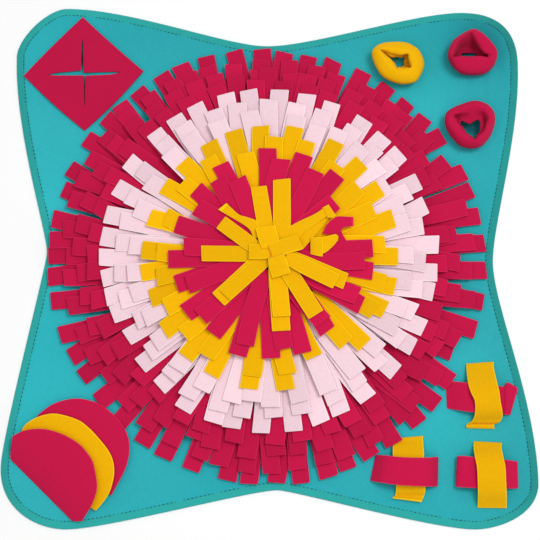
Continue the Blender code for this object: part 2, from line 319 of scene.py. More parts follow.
# the band shows least where it faces the front or the back
facing = np.tile(edge_inward[:, 1] ** 2, len(rings))
# the felt's nap tone and painted light and shade from the patches; the hem band lighter at front
# and back
felt_light_and_tone = painted_light_and_tone_at(cloth_points[:, :2])
felt_light_and_tone[:-2] += HEM_LIGHTER * facing * hem_mask[:-2]
base = new_piece(
    "base_felt",
    cloth_points * MM,
    cloth_quads.tolist() + top_fan.tolist() + under_fan.tolist(),
    [("hem", "POINT", hem_mask), ("nap_tone_painted_light", "POINT", felt_light_and_tone)],
)


def node(tree, kind, place, **values):
    """A node at a place in the tree, with the settings and input values given by name."""
    item = tree.nodes.new(kind)
    item.location = place
    for label, value in values.items():
        if hasattr(item, label):
            setattr(item, label, value)
        else:
            item.inputs[label.replace("_", " ").title()].default_value = value
    return item


def maths(tree, operation, place, first, second):
    """The result of an operation on two numbers, each a socket or a plain value."""
    item = node(tree, "ShaderNodeMath", place, operation=operation)
    for socket, value in zip(item.inputs, (first, second)):
        if isinstance(value, bpy.types.NodeSocket):
            tree.links.new(value, socket)
        else:
            socket.default_value = value
    return item.outputs[0]


def cloud(tree, place, where, **values):
    """A noise texture that reads the object's own coordinates."""
    item = node(tree, "ShaderNodeTexNoise", place, **values)
    tree.links.new(where, item.inputs["Vector"])
    return item


def marked(tree, place, name):
    """The mark of this name that the mesh carries, as a number."""
    return node(tree, "ShaderNodeAttribute", place, attribute_name=name).outputs["Fac"]


def cloth_nap_group():
    """The nap of pressed or brushed cloth, for every cloth of the mat.

    Fibres are stretched noise in two directions, tufts a coarser noise and mottle a broad one.
    Colour is the given colour times 1 + fibre, tuft and mottle shares; Height is their sum.
    The Shade input, which carries tone and painted light and shade, is added to those shares.
    """
    tree = bpy.data.node_groups.new("cloth_nap", "ShaderNodeTree")
    for name, way, kind in (
        ("Colour", "INPUT", "Color"), ("Fibre Pitch", "INPUT", "Float"),
        ("Fibre Contrast", "INPUT", "Float"), ("Tuft Contrast", "INPUT", "Float"),
        ("Mottle", "INPUT", "Float"), ("Shade", "INPUT", "Float"),
        ("Colour", "OUTPUT", "Color"), ("Height", "OUTPUT", "Float"),
    ):
        tree.interface.new_socket(name=name, in_out=way, socket_type="NodeSocket" + kind)
    source = tree.nodes.new("NodeGroupInput")
    source.location = (-1200, 0)
    sink = tree.nodes.new("NodeGroupOutput")
    sink.location = (900, 0)
    where = node(tree, "ShaderNodeTexCoord", (-1200, -300)).outputs["Object"]
    fibres = []
    for turn, y in ((0.4, 200), (-0.9, -50)):
        stretch = node(tree, "ShaderNodeMapping", (-1000, y))
        set_inputs(stretch, {"Rotation": (0.0, 0.0, turn), "Scale": (1.0, 0.22, 1.0)})
        tree.links.new(where, stretch.inputs["Vector"])
        noise = cloud(tree, (-800, y), stretch.outputs[0], detail=2.0, roughness=0.7)
        tree.links.new(source.outputs["Fibre Pitch"], noise.inputs["Scale"])
        fibres.append(noise.outputs["Fac"])
    fibre = maths(tree, "MAXIMUM", (-600, 100), fibres[0], fibres[1])
    tuft = cloud(tree, (-800, -300), where, scale=210.0, detail=3.0).outputs["Fac"]
    broad = cloud(tree, (-800, -550), where, scale=14.0, detail=3.0).outputs["Fac"]
    parts = []
    for noise, share, y in (
        (fibre, "Fibre Contrast", 100), (tuft, "Tuft Contrast", -200), (broad, "Mottle", -450)
    ):
        centred = maths(tree, "SUBTRACT", (-400, y), noise, 0.5)
        parts.append(maths(tree, "MULTIPLY", (-200, y), centred, source.outputs[share]))
    total = maths(tree, "ADD", (0, 0), parts[0], parts[1])
    total = maths(tree, "ADD", (150, -100), total, parts[2])
    total = maths(tree, "ADD", (300, -150), total, source.outputs["Shade"])
    gain = maths(tree, "ADD", (450, -150), total, 1.0)
    scale = node(tree, "ShaderNodeVectorMath", (620, 0), operation="SCALE")
    tree.links.new(source.outputs["Colour"], scale.inputs[0])
    tree.links.new(gain, scale.inputs["Scale"])
    tree.links.new(scale.outputs[0], sink.inputs["Colour"])
    tuft_height = maths(tree, "MULTIPLY", (300, -400), tuft, 1.4)
    tree.links.new(maths(tree, "ADD", (450, -350), fibre, tuft_height), sink.inputs["Height"])
    return tree


CLOTH_NAP = cloth_nap_group()


def cloth_shader(name, roughness, sheen, nap_values):
    """A cloth material, its tree and its nap, which gives the colour and the bump."""
    material = bpy.data.materials.new(name)
    material.use_nodes = True
    tree = material.node_tree
    shader = tree.nodes["Principled BSDF"]
    set_inputs(shader, {"Roughness": roughness, "Specular IOR Level": 0.1})
    set_inputs(shader, {"Sheen Weight": sheen, "Sheen Roughness": 0.55})
    nap = node(tree, "ShaderNodeGroup", (-500, 0), node_tree=CLOTH_NAP)
    set_inputs(nap, nap_values)
    bump = node(tree, "ShaderNodeBump", (-250, -250), strength=0.35, distance=0.0008)
    tree.links.new(nap.outputs["Colour"], shader.inputs["Base Color"])
    tree.links.new(nap.outputs["Height"], bump.inputs["Height"])
    tree.links.new(bump.outputs["Normal"], shader.inputs["Normal"])
    return material, tree, nap


def mixed(tree, place, share, first, second):
    """A blend of two colours, each a socket or a plain colour, by a share."""
    mix = node(tree, "ShaderNodeMix", place, data_type="RGBA")
    for socket, value in ((mix.inputs[0], share), (mix.inputs[6], first), (mix.inputs[7], second)):
        if isinstance(value, bpy.types.NodeSocket):
            tree.links.new(value, socket)
        else:
            socket.default_value = value
    return mix.outputs[2]


felt, tree, nap = cloth_shader(
    "teal_felt", 0.9, 0.02,
    {"Fibre Pitch": 760.0, "Fibre Contrast": 0.16, "Tuft Contrast": 0.10, "Mottle": 0.05},
)
where = node(tree, "ShaderNodeTexCoord", (-1300, 0)).outputs["Object"]
patches = cloud(tree, (-1100, 0), where, scale=5.0, detail=1.0)
cloth_colour = mixed(tree, (-900, 0), patches.outputs["Fac"], TEAL, TEAL_PALE)
hem = marked(tree, (-1100, -300), "hem")
tree.links.new(mixed(tree, (-700, 0), hem, cloth_colour, TEAL_HEM), nap.inputs["Colour"])
# the nap's Shade carries the felt's tone and its painted light and shade
tree.links.new(marked(tree, (-1100, -500), "nap_tone_painted_light"), nap.inputs["Shade"])
base.data.materials.append(felt)
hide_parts("base_cloth")
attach(base, "root")

# Hem stitches: one row of dark teal lockstitch all round, along the groove that the turned edge
# leaves. Each stitch is a short piece of thread whose ends dive into the cloth.
STITCH_PITCH = 4.7
STITCH_LENGTH = 3.1
THREAD_HALF = 0.42
STITCH_RINGS = 5
STITCH_SIDES = 6
STITCH_SINK = 0.38
STITCH_RISE = 0.45
STITCH_TAPER = 0.94
THREAD_COLOUR = (0.009, 0.150, 0.163, 1.0)


def stitch_row(points, along, heights):
    """Capsules of thread laid end to end.

    Station t from -1 to 1 runs along the stitch, its middle rises by 1 - t squared and its
    radius is the square root of 1 - (taper times t) to the fourth; each ring is a circle round
    that line.
    """
    count = len(points)
    t = np.linspace(-1.0, 1.0, STITCH_RINGS)[None, :, None]
    angle = np.linspace(0.0, 2 * np.pi, STITCH_SIDES, endpoint=False)[None, None, :]
    swell = np.sqrt(1.0 - (STITCH_TAPER * t) ** 4) * THREAD_HALF
    across = np.stack([-along[:, 1], along[:, 0]], 1)
    line = points[:, None, None] + along[:, None, None] * t[..., None] * STITCH_LENGTH / 2
    side = across[:, None, None] * (swell * np.cos(angle))[..., None]
    plan = line + side
    lift = heights[:, None, None] + STITCH_RISE * (1.0 - t ** 2) + swell * np.sin(angle)
    grid = np.concatenate([plan, lift[..., None]], -1)
    size = STITCH_RINGS * STITCH_SIDES
    faces = loop_faces(STITCH_RINGS, STITCH_SIDES)
    faces = (faces[None] + np.arange(count)[:, None, None] * size).reshape(-1, 4)
    ring = np.arange(STITCH_SIDES)
    ends = np.stack([ring[::-1], ring + size - STITCH_SIDES])
    ends = (ends[None] + np.arange(count)[:, None, None] * size).reshape(-1, STITCH_SIDES)
    return grid.reshape(-1, 3), faces.tolist() + ends.tolist()


def thread_material(name, colour):
    """Twisted sewing thread: a fine slanted wave along it darkens and dents the colour."""
    material = bpy.data.materials.new(name)
    material.use_nodes = True
    tree = material.node_tree
    shader = tree.nodes["Principled BSDF"]
    shader.inputs["Roughness"].default_value = 0.55
    where = node(tree, "ShaderNodeTexCoord", (-900, 0)).outputs["Object"]
    twist = node(tree, "ShaderNodeTexWave", (-700, 0), bands_direction="DIAGONAL", scale=900.0)
    tree.links.new(where, twist.inputs["Vector"])
    dark = tuple(0.6 * c for c in colour[:3]) + (1.0,)
    blend = mixed(tree, (-450, 0), twist.outputs["Fac"], dark, colour)
    tree.links.new(blend, shader.inputs["Base Color"])
    bump = node(tree, "ShaderNodeBump", (-300, -250), distance=0.0002)
    tree.links.new(twist.outputs["Fac"], bump.inputs["Height"])
    tree.links.new(bump.outputs["Normal"], shader.inputs["Normal"])
    return material


stitch_count = int(edge_length / STITCH_PITCH)
stitch_at, stitch_in, stitch_along, _ = closed_outline(stitch_count)
seam_at = stitch_at + stitch_in * SEAM_IN
# the stitches lie deeper in the cloth on the front and back edges than on the sides
seam_sink = STITCH_SINK * stitch_in[:, 1] ** 2 * (0.7 + 0.3 * np.sin(np.arange(stitch_count) * 0.7))
thread_points, thread_faces = stitch_row(seam_at, stitch_along, SEAM_HEIGHT - seam_sink)
stitches = new_piece("hem_stitches", thread_points * MM, thread_faces)
stitches.data.materials.append(thread_material("teal_thread", THREAD_COLOUR))
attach(stitches, "root")

# Slit panel: a square of crimson fleece set cornerwise, cut with a cross and sewn down near its
# corners only, so that it stands a little off the base and its edges are slack.
PANEL_CENTRE = np.array([-219.0, 223.8])
PANEL_TURN = np.radians(2.3)
PANEL_HALF = 70.5
PANEL_T = 1.7
PANEL_FOOT = 4.5
PANEL_RISE = 1.6
PANEL_STEPS = 26
PANEL_SHADE = -0.04
WELD = 0.02
SOFT_EDGE = 0.35
CUT_ANGLE = 50.0
SLIT_HALF = 43.0
UPRIGHT_TAPER = 0.3
LEVEL_TAPERS = {-1: 0.62, 1: 0.15}
# quarter: sign across, sign up, how far its outer edge bows out and lifts, how far it draws back
# from the upright slit and from the level one (mm)
PANEL_QUARTERS = [
    (1, 1, -1.0, 0.6, -0.1, 0.5), (-1, 1, 0.8, 0.3, 2.9, 3.4),
    (-1, -1, 1.6, 1.0, -0.4, 3.2), (1, -1, 3.0, 3.4, 1.9, 3.6),
]
CRIMSON = (0.535, 0.0068, 0.060, 1.0)
CRIMSON_CUT = (0.640, 0.018, 0.090, 1.0)


def fleece_material(name, colour, cut_colour):
    """Brushed fleece: nap over the colour, a shade of its own for each strip that also carries
    painted light and shade, paler cut edges.
    """
    material, tree, nap = cloth_shader(
        name, 0.93, 0.03,
        {"Fibre Pitch": 1100.0, "Fibre Contrast": 0.10, "Tuft Contrast": 0.10, "Mottle": 0.05},
    )
    cut = marked(tree, (-1100, 100), "cut_edge")
    tree.links.new(mixed(tree, (-800, 0), cut, colour, cut_colour), nap.inputs["Colour"])
    tree.links.new(marked(tree, (-1100, -200), "strip_tone_and_painted_light"), nap.inputs["Shade"])
    return material


def grid_faces(rows, columns):
    """Quads between the neighbouring points of one open grid."""
    number = np.arange(rows * columns).reshape(rows, columns)
    corners = (number[:-1, :-1], number[:-1, 1:], number[1:, 1:], number[1:, :-1])
    return np.stack(corners, -1).reshape(-1, 4)


def slit_gape(along, back, taper):
    """Share of its draw that an edge keeps: 1 - taper t along the slit, none past its end.

    t runs from 0 at the crossing to 1 at the slit's end, and the share fades with the sixth
    power of how near a point is to the slit.
    """
    t = along * PANEL_HALF / SLIT_HALF
    return np.maximum(0.0, 1.0 - t ** 8) * (1.0 - taper * t) * (1.0 - back) ** 6


def panel_quarter(sign_x, sign_y, bow, lift, cross_draw, long_draw):
    """One quarter of the square between two arms of the cross.

    (u, v) maps to x = u (1 - v / 2), y = v (1 - u / 2), which fills the triangle x + y <= 1. The
    height is a pillow, (1 - (x + y) squared) times (1 - (x - y) squared). The two inner edges
    draw back where they are slit, and the outer edge bows out and lifts by a half sine.
    """
    u, v = np.meshgrid(*[np.linspace(0.0, 1.0, PANEL_STEPS + 1)] * 2, indexing="ij")
    x = u * (1.0 - 0.5 * v)
    y = v * (1.0 - 0.5 * u)
    out = x + y
    place = y / np.maximum(out, 1e-6)
    middle_of_edge = np.sin(np.pi * place)
    gape_x = slit_gape(y, x, UPRIGHT_TAPER)
    gape_y = slit_gape(x, y, LEVEL_TAPERS[sign_x])
    push = bow * middle_of_edge * out ** 3 / np.sqrt(2.0)
    px = sign_x * (x * PANEL_HALF + cross_draw * gape_x + push)
    py = sign_y * (y * PANEL_HALF + long_draw * gape_y + push)
    pillow = (1.0 - out ** 2) * (1.0 - (x - y) ** 2)
    ripple = 0.3 * np.sin(9.0 * place + 2.0 * sign_x + sign_y) * out ** 4 * middle_of_edge
    z = PANEL_FOOT + PANEL_RISE * pillow + lift * middle_of_edge * out ** 4 + ripple
    across = np.array([np.cos(PANEL_TURN), np.sin(PANEL_TURN)])
    up = np.array([-across[1], across[0]])
    plan = PANEL_CENTRE + px[..., None] * across + py[..., None] * up
    grid = np.concatenate([plan, z[..., None]], -1)
    faces = grid_faces(PANEL_STEPS + 1, PANEL_STEPS + 1)
    return grid.reshape(-1, 3), faces[:, ::-1] if sign_x * sign_y > 0 else faces


def welded(obj, closed=False):
    """Join the points of a mesh that lie within the weld distance of each other.

    An open sheet is turned face up; closed cloth keeps the way that its faces look.
    """
    mesh = bmesh.new()
    mesh.from_mesh(obj.data)
    bmesh.ops.remove_doubles(mesh, verts=mesh.verts[:], dist=WELD * MM)
    if not closed:
        bmesh.ops.recalc_face_normals(mesh, faces=mesh.faces[:])
        if sum(face.normal.z for face in mesh.faces) < 0.0:
            bmesh.ops.reverse_faces(mesh, faces=mesh.faces[:])
    mesh.to_mesh(obj.data)
    mesh.free()


def thickened(obj, thickness):
    """Give an open sheet its thickness, half to each side, and soften its cut edges."""
    solid = obj.modifiers.new("thickness", "SOLIDIFY")
    solid.thickness = thickness
    solid.offset = 0.0
    soft = obj.modifiers.new("soft_edge", "BEVEL")
    soft.width = SOFT_EDGE * MM
    soft.segments = 2
    soft.limit_method = "ANGLE"
    soft.angle_limit = np.radians(CUT_ANGLE)


crimson_fleece = fleece_material("brushed_crimson", CRIMSON, CRIMSON_CUT)
quarters = [panel_quarter(*row) for row in PANEL_QUARTERS]
quarter_size = len(quarters[0][0])
panel = new_piece(
    "slit_square",
    np.vstack([points for points, _ in quarters]) * MM,
    np.vstack([faces + i * quarter_size for i, (_, faces) in enumerate(quarters)]).tolist(),
    [("strip_tone_and_painted_light", "POINT", np.full(4 * quarter_size, PANEL_SHADE))],
)
welded(panel)
thickened(panel, PANEL_T * MM)
panel.data.materials.append(crimson_fleece)
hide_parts("slit_panel")
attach(panel, "root")

# Cups: three collars, each a band of fleece rolled into a fat soft ring and sewn to the base
# round its foot. The cloth folds in on itself, so the well inside is narrow and uneven.
CUP_LOOPS = 8
# crumples: how many round the cup, how they drift on the way in, size (mm)
CUP_WAVES = ((2, 2.0, 0.16), (3.5, 3.0, 0.18), (6, 5.0, 0.12), (9.5, 8.0, 0.08))
CUP_STEPS = 128
CUP_RINGS = 56
CUP_RIM = 27.0
CUP_INNER_FROM = 0.5
CUP_OUTER_RING = 5
CUP_SEED = 3
# how far a loop's corners are averaged away, in corners: outside and inside the cup; the reach
# of that mean, in steps; where on the way in the creases begin, run in full and end
CUP_SOFT, CUP_CRISP = 0.27, 0.11
CUP_EASE = 20
CREASE_FROM, CREASE_IN, CREASE_OUT = 0.34, 0.2, 0.1
# how much painted shade darkens the foot of each cup's inside against its rim
CUP_PAINTED_SHADE = {"crimson": 0.48, "yellow": 0.24}
YELLOW = (0.870, 0.455, 0.0002, 1.0)
YELLOW_CUT = (1.000, 0.700, 0.003, 1.0)
# each loop runs clockwise from the back as eight corners (u, v) and one or eight heights (mm)
YELLOW_CUP = [
    ("foot", [(385, 52), (403, 50), (415, 55), (420, 65),
              (413, 78), (400, 81), (385, 73), (377, 58)], 3.6),
    ("belly", [(380.5, 45), (406, 43.5), (420.5, 52.5), (425, 65.5),
               (417, 82), (400, 85), (381.5, 77.5), (371.5, 57.5)], 11),
    ("shoulder", [(381.5, 42), (406, 41.5), (419.5, 49.5), (424.5, 64),
                  (416.5, 82), (400, 83.5), (380, 74.5), (369.5, 51)], 22),
    ("lip", [(386, 46.5), (403, 49), (413, 53), (416.5, 65),
             (409, 73), (398, 74), (386, 63.5), (376, 50)], 29),
    ("fold", [(388.5, 51.5), (400, 55), (407.3, 54), (411.3, 67),
              (404, 67.8), (397.5, 67.8), (391, 59.6), (379.5, 49.5)], 27),
    ("wall", [(389.5, 54), (400, 56.5), (406.4, 55.5), (409.8, 66.3),
              (403.2, 67.4), (397.5, 67.4), (391.6, 60), (381, 50.8)],
     (22, 20, 12, 12, 20, 22, 22, 22)),
    ("throat", [(391, 57.8), (400, 58), (404, 57.8), (403.4, 65.6),
                (401, 66.8), (397.5, 66.8), (392.2, 60.4), (383, 52.5)],
     (16, 15, 9, 9, 14, 16, 16, 18)),
    ("well", [(388, 56), (400, 55), (407, 57), (407, 66),
              (403, 70), (396, 70), (389, 63), (384, 56)], 3.4),
]
CRIMSON_CUP_1 = [
    ("foot", [(471, 39), (486, 45), (494, 55), (490, 67),
              (482, 72), (461, 72), (450, 60), (457, 43)], 3.6),
    ("belly", [(473, 31), (488, 41), (498.5, 54), (494, 67),
               (484, 75.5), (460, 75.5), (446.5, 60), (453, 42)], 11),
    ("shoulder", [(474, 26.5), (487, 36), (499, 51), (494, 64),
                  (484, 72), (458, 72), (446, 55), (453, 39)], 22),
    ("lip", [(474, 29), (486, 38.5), (497, 51), (492, 58.5),
             (483, 60), (458, 60), (449, 55.5), (455.5, 41)], 29),
    ("fold", [(471, 32.5), (477.6, 42.5), (484.5, 52.6), (488.5, 57),
              (480, 56), (460, 56), (452.5, 57), (458, 43.5)], 27),
    ("wall", [(473.5, 46), (476.6, 47), (482.5, 54), (486.3, 57.3),
              (479, 58), (461, 58), (455.5, 56.5), (461.5, 47)],
     (9, 12, 13, 15, 18, 18, 13, 14)),
    ("throat", [(472.5, 53.4), (475.5, 53.4), (476.5, 55), (475.5, 58),
                (471, 60), (463, 60), (460.5, 57), (462.3, 53.6)],
     (8, 9, 9, 10, 14, 14, 10, 9)),
    ("well", [(474, 48), (482, 50), (485, 56), (482, 62),
              (475, 64), (461, 64), (455, 60), (459, 50)], 3.4),
]
CRIMSON_CUP_2 = [
    ("foot", [(475, 111), (487, 115), (489, 124), (485, 138),
              (475, 144), (461, 141), (450, 128), (454, 115)], 3.6),
    ("belly", [(474, 103), (491, 108), (496, 120), (491, 137),
               (479, 149), (460, 148), (445.5, 130), (446, 113)], 12),
    ("shoulder", [(474, 99), (489, 104), (496, 114), (491, 133),
                  (479, 147.5), (460, 145), (444, 125), (445.5, 110)], 22),
    ("lip", [(474, 103), (487, 107), (492.5, 116), (487.5, 131),
             (477, 142), (463, 138), (449, 124), (449.5, 112.5)], 28.5),
    ("fold", [(473, 109), (484, 110.5), (488, 119), (483.5, 131.5),
              (475, 139), (465.5, 133.3), (457, 121.8), (454, 115)], 26.5),
    ("groove", [(472, 115.5), (482.5, 115), (485.7, 121.5), (482.5, 131.3),
                (475, 138.8), (466, 133.5), (457, 121), (456.5, 116.5)],
     (23, 19, 15, 19, 23, 23, 18, 16)),
    ("roll", [(471, 119.5), (480.3, 117.3), (482.7, 123.5), (481, 131.5),
              (475.2, 138.3), (466.5, 133.6), (459, 122.5), (460, 119.3)],
     (21, 21, 21, 21, 21, 21, 20, 20)),
    ("throat", [(470, 124.8), (478, 119.3), (480, 124), (479.7, 132),
                (475, 137.8), (467, 133.5), (460, 124), (462, 121.3)], 18),
    ("well", [(470, 117), (481, 117), (486, 124), (483, 136),
              (475, 141), (464, 137), (455, 127), (458, 118)], 3.4),
]
# cup, its loops, its nodes, creases that run from the shoulder into the well: where on the loop
# (0 to 8), drift on the way, depth, width
CUPS = [
    ("yellow_collar", YELLOW_CUP, "yellow_cup", [
        (2.0, 0.1, 0.9, 0.12), (3.3, -0.2, 0.9, 0.12), (5.0, 0.0, 1.1, 0.14), (0.6, 0.3, 0.8, 0.3),
    ]),
    ("crimson_collar_1", CRIMSON_CUP_1, "crimson_cup_1", [
        (2.6, 0.0, 2.1, 0.2), (5.8, 0.0, 1.6, 0.16), (7.3, 0.2, 0.7, 0.3),
    ]),
    ("crimson_collar_2", CRIMSON_CUP_2, "crimson_cup_2", [
        (6.6, 0.3, 1.0, 0.2), (1.5, 0.3, 1.0, 0.2), (4.1, 0.0, 1.3, 0.14), (0.3, -0.3, 0.8, 0.3),
    ]),
]


def eased_loop(corners, steps, softness):
    """A closed run through corners: straight facets whose corners are averaged away.

    The run is read evenly between the corners, then each point is set to the mean of the
    points within the softness on either side of it, weighted like a bell.
    """
    looped = np.vstack([corners, corners[:1]])
    at = np.linspace(0.0, len(corners), steps, endpoint=False)
    run = read_along(looped, np.arange(len(looped)), at)
    reach = np.arange(-CUP_EASE, CUP_EASE + 1)
    weight = np.exp(-0.5 * (reach * len(corners) / steps / softness) ** 2)
    weight /= weight.sum()
    return sum(w * np.roll(run, -shift, axis=0) for w, shift in zip(weight, reach))


def smooth_between(rows, count):
    """Rows (n, ...) carried on to count rows by a curve that passes through each of them.

    Between two rows it is the cubic whose slopes are half the difference of the neighbours.
    """
    padded = np.concatenate([2 * rows[:1] - rows[1:2], rows, 2 * rows[-1:] - rows[-2:-1]])
    at = np.linspace(0.0, len(rows) - 1.0, count)
    low = np.minimum(at.astype(int), len(rows) - 2)
    t = (at - low).reshape((-1,) + (1,) * (rows.ndim - 1))
    a, b, c, d = (padded[low + shift] for shift in range(4))
    return b + 0.5 * t * (c - a + t * (2 * a - 5 * b + 4 * c - d + t * (3 * (b - c) + d - a)))


def collar(loops, creases, seed):
    """A loft through the noted loops, with creases and a little crumple; cloth_ring closes it
    underneath.

    A crease is a bell-shaped trough pressed in along the surface's normal from the shoulder on;
    its place on the loop drifts towards the well. The corners of the fold stay crisp.
    """
    rings = []
    for label, corners, height in loops:
        softness = CUP_SOFT if label in ("foot", "belly", "shoulder", "lip") else CUP_CRISP
        z = np.full(CUP_LOOPS, height) * MM
        x, y = view_point(*np.array(corners, float).T, z)
        ring = np.stack([x, y, z], 1) / MM
        rings.append(eased_loop(ring, CUP_STEPS, softness))
    grid = smooth_between(np.array(rings), CUP_RINGS)
    across = np.roll(grid, -1, axis=1) - np.roll(grid, 1, axis=1)
    normal = np.cross(np.gradient(grid, axis=0), across)
    normal /= np.maximum(np.linalg.norm(normal, axis=-1, keepdims=True), 1e-9)
    outward = normal[:, :, :2] * (grid[:, :, :2] - grid[:, :, :2].mean(axis=(0, 1)))
    if outward[CUP_OUTER_RING].sum() < 0.0:
        normal = -normal
    s = np.linspace(0.0, 1.0, CUP_RINGS)[:, None]
    at = np.linspace(0.0, CUP_LOOPS, CUP_STEPS, endpoint=False)[None]
    inside = np.clip((s - CREASE_FROM) / CREASE_IN, 0.0, 1.0)
    inside = inside * np.clip((1.0 - s) / CREASE_OUT, 0.0, 1.0)
    press = np.zeros((CUP_RINGS, CUP_STEPS))
    for place, drift, depth, width in creases:
        gap = (at - place - drift * s + CUP_LOOPS / 2) % CUP_LOOPS - CUP_LOOPS / 2
        press += depth * np.exp(-0.5 * (gap / width) ** 2) * inside
    rng = np.random.default_rng(seed)
    for turns, lengths, size in CUP_WAVES:
        phase, other = rng.uniform(0.0, 2 * np.pi, 2)
        drift = 2.0 * np.sin(lengths * s * 3 + other)
        wave = np.sin(turns * at / CUP_LOOPS * 2 * np.pi + phase + drift)
        press += size * (np.abs(wave) * 2.0 - 1.0) * (0.3 + 0.7 * inside)
    return grid - normal * press[..., None]


def painted_depth_shade(grid, most):
    """Painted shade by depth inside a cup: from 0 at the rim to -most at the floor, and 0 outside.
    """
    s = np.linspace(0.0, 1.0, CUP_RINGS)[:, None]
    inner = np.clip((s - CUP_INNER_FROM) / 0.1, 0.0, 1.0)
    return (-most * inner * np.clip(1.0 - grid[..., 2] / CUP_RIM, 0.0, 1.0)).ravel()


def cloth_ring(grid):
    """Faces of a loft whose rings close on themselves, with its last ring joined to its first."""
    rings, steps = grid.shape[:2]
    faces = loop_faces(rings, steps)
    last = (rings - 1) * steps
    j = np.arange(steps)
    k = (j + 1) % steps
    under = np.stack([last + j, last + k, k, j], -1)
    return np.vstack([faces, under])


yellow_fleece = fleece_material("brushed_yellow", YELLOW, YELLOW_CUT)
FLEECE = {"crimson": crimson_fleece, "yellow": yellow_fleece}
for seed, (name, loops, cad_node, creases) in enumerate(CUPS):
    ring = collar(loops, creases, seed + CUP_SEED)
    colour = "yellow" if "yellow" in name else "crimson"
    # painted shade inside each cup, darker towards its floor
    marks = [("strip_tone_and_painted_light", "POINT", painted_depth_shade(ring, CUP_PAINTED_SHADE[colour]))]
    cup = new_piece(name, ring * MM, cloth_ring(ring).tolist(), marks)
    mesh = bmesh.new()
    mesh.from_mesh(cup.data)
    bmesh.ops.recalc_face_normals(mesh, faces=mesh.faces[:])
    mesh.to_mesh(cup.data)
    mesh.free()
    cup.data.shade_smooth()
    cup.data.materials.append(FLEECE[colour])
    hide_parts(cad_node)
    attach(cup, "root")

# Pocket: three D-shaped flaps of fleece, each sewn to the base along its straight edge and lying
# over the next like petals, so that treats go in under each round edge.
FLAP_T = 1.7
FLAP_FOOT = 4.2
FLAP_ROWS = 30
FLAP_COLUMNS = 90
FLAP_RUN = 62.0
FLAP_RIM = 0.985
FLAP_EDGE_PASSES = 4
FLAP_SHADES = {"crimson": 0.07, "yellow": 0.0}
# each flap: the two ends of its sewn edge, then its round edge from one end to the other (u, v)
POCKET_LOW = ((51.5, 443), (88.5, 481.5)), [
    (40, 430), (36, 419), (44, 410), (58, 402), (78, 398.5), (98, 403), (109, 410.5),
    (119, 420), (126, 431), (129.5, 444), (128.5, 458), (124, 472), (112, 494), (111.5, 494.5),
    (102, 490),
]
POCKET_MIDDLE = ((37, 457), (74, 495.5)), [
    (24, 443), (22, 430), (30, 421), (44, 415), (58, 414), (78, 420), (89, 428), (98.5, 438),
    (108, 450), (113, 461), (114, 475), (110, 491), (104, 501), (96.2, 510.2), (95.8, 510.6),
    (88, 505.5),
]
POCKET_TOP = ((11.5, 460), (72, 520.5)), [
    (10.6, 457), (11.4, 446), (12.8, 436.4), (13.3, 435.6), (26, 430), (44, 429), (62, 434),
    (78, 443), (87, 452.5), (92.5, 461), (95.5, 473), (97, 488), (93, 502), (87, 513),
    (82.4, 520.2), (81.8, 520.8), (76, 521),
]
# flap, its outline, node, lift of the round edge, waves of the edge: count, height (mm)
FLAPS = [
    ("pocket_low", POCKET_LOW, "low_flap", 5.0, 2.0, 0.4),
    ("pocket_middle", POCKET_MIDDLE, "middle_flap", 9.0, 2.5, 0.5),
    ("pocket_top", POCKET_TOP, "top_flap", 14.5, 1.5, 0.6),
]


def even_run(points, count):
    """A smooth open curve through points, read at count places an equal way apart."""
    curve = smooth_between(points, 12 * len(points))
    run = np.concatenate([[0.0], np.cumsum(np.linalg.norm(np.diff(curve, axis=0), axis=1))])
    at = np.linspace(0.0, run[-1], count)
    return read_along(curve, run, at)


def flap_grid(outline, lift, waves, wave_height):
    """A D-shaped sheet between its sewn edge and its round edge, (rows, columns, 3).

    Rows run straight from the sewn edge to the round edge. The sheet is bent one way only:
    its height is the foot plus the lift times 1 - (1 - d) cubed, where d is the distance from
    the sewn edge's line over the bend's run, and the free edge waves a little.
    """
    sewn, rounded = outline
    corners = np.array([sewn[0], *rounded, sewn[1]], float)
    hinge = np.stack(view_point(*np.array(sewn, float).T, FLAP_FOOT * MM), 1) / MM
    along = (hinge[1] - hinge[0]) / np.linalg.norm(hinge[1] - hinge[0])
    t = np.linspace(0.0, 1.0, FLAP_COLUMNS)
    hinge = hinge[0] + (hinge[1] - hinge[0]) * t[:, None]

    def bend(plan):
        """The lift at places of the plan, by their distance from the sewn edge's line."""
        away = (plan[..., 1] - hinge[0, 1]) * along[0] - (plan[..., 0] - hinge[0, 0]) * along[1]
        return lift * (1.0 - (1.0 - np.clip(np.abs(away) / FLAP_RUN, 0.0, 1.0)) ** 3)

    edge_lift = np.zeros(len(corners))
    for _ in range(FLAP_EDGE_PASSES):
        edge = np.stack(view_point(*corners.T, (FLAP_FOOT + edge_lift) * MM), 1) / MM
        edge_lift = bend(edge)
    edge = even_run(edge, FLAP_COLUMNS)
    share = np.append(np.linspace(0.0, FLAP_RIM, FLAP_ROWS - 1), 1.0)[:, None, None]
    plan = hinge + (edge - hinge) * share
    flutter = np.sin(waves * 2 * np.pi * t + lift) * share[..., 0] ** 4 * bend(plan) / lift
    z = FLAP_FOOT + bend(plan) + wave_height * flutter
    return np.concatenate([plan, z[..., None]], -1)


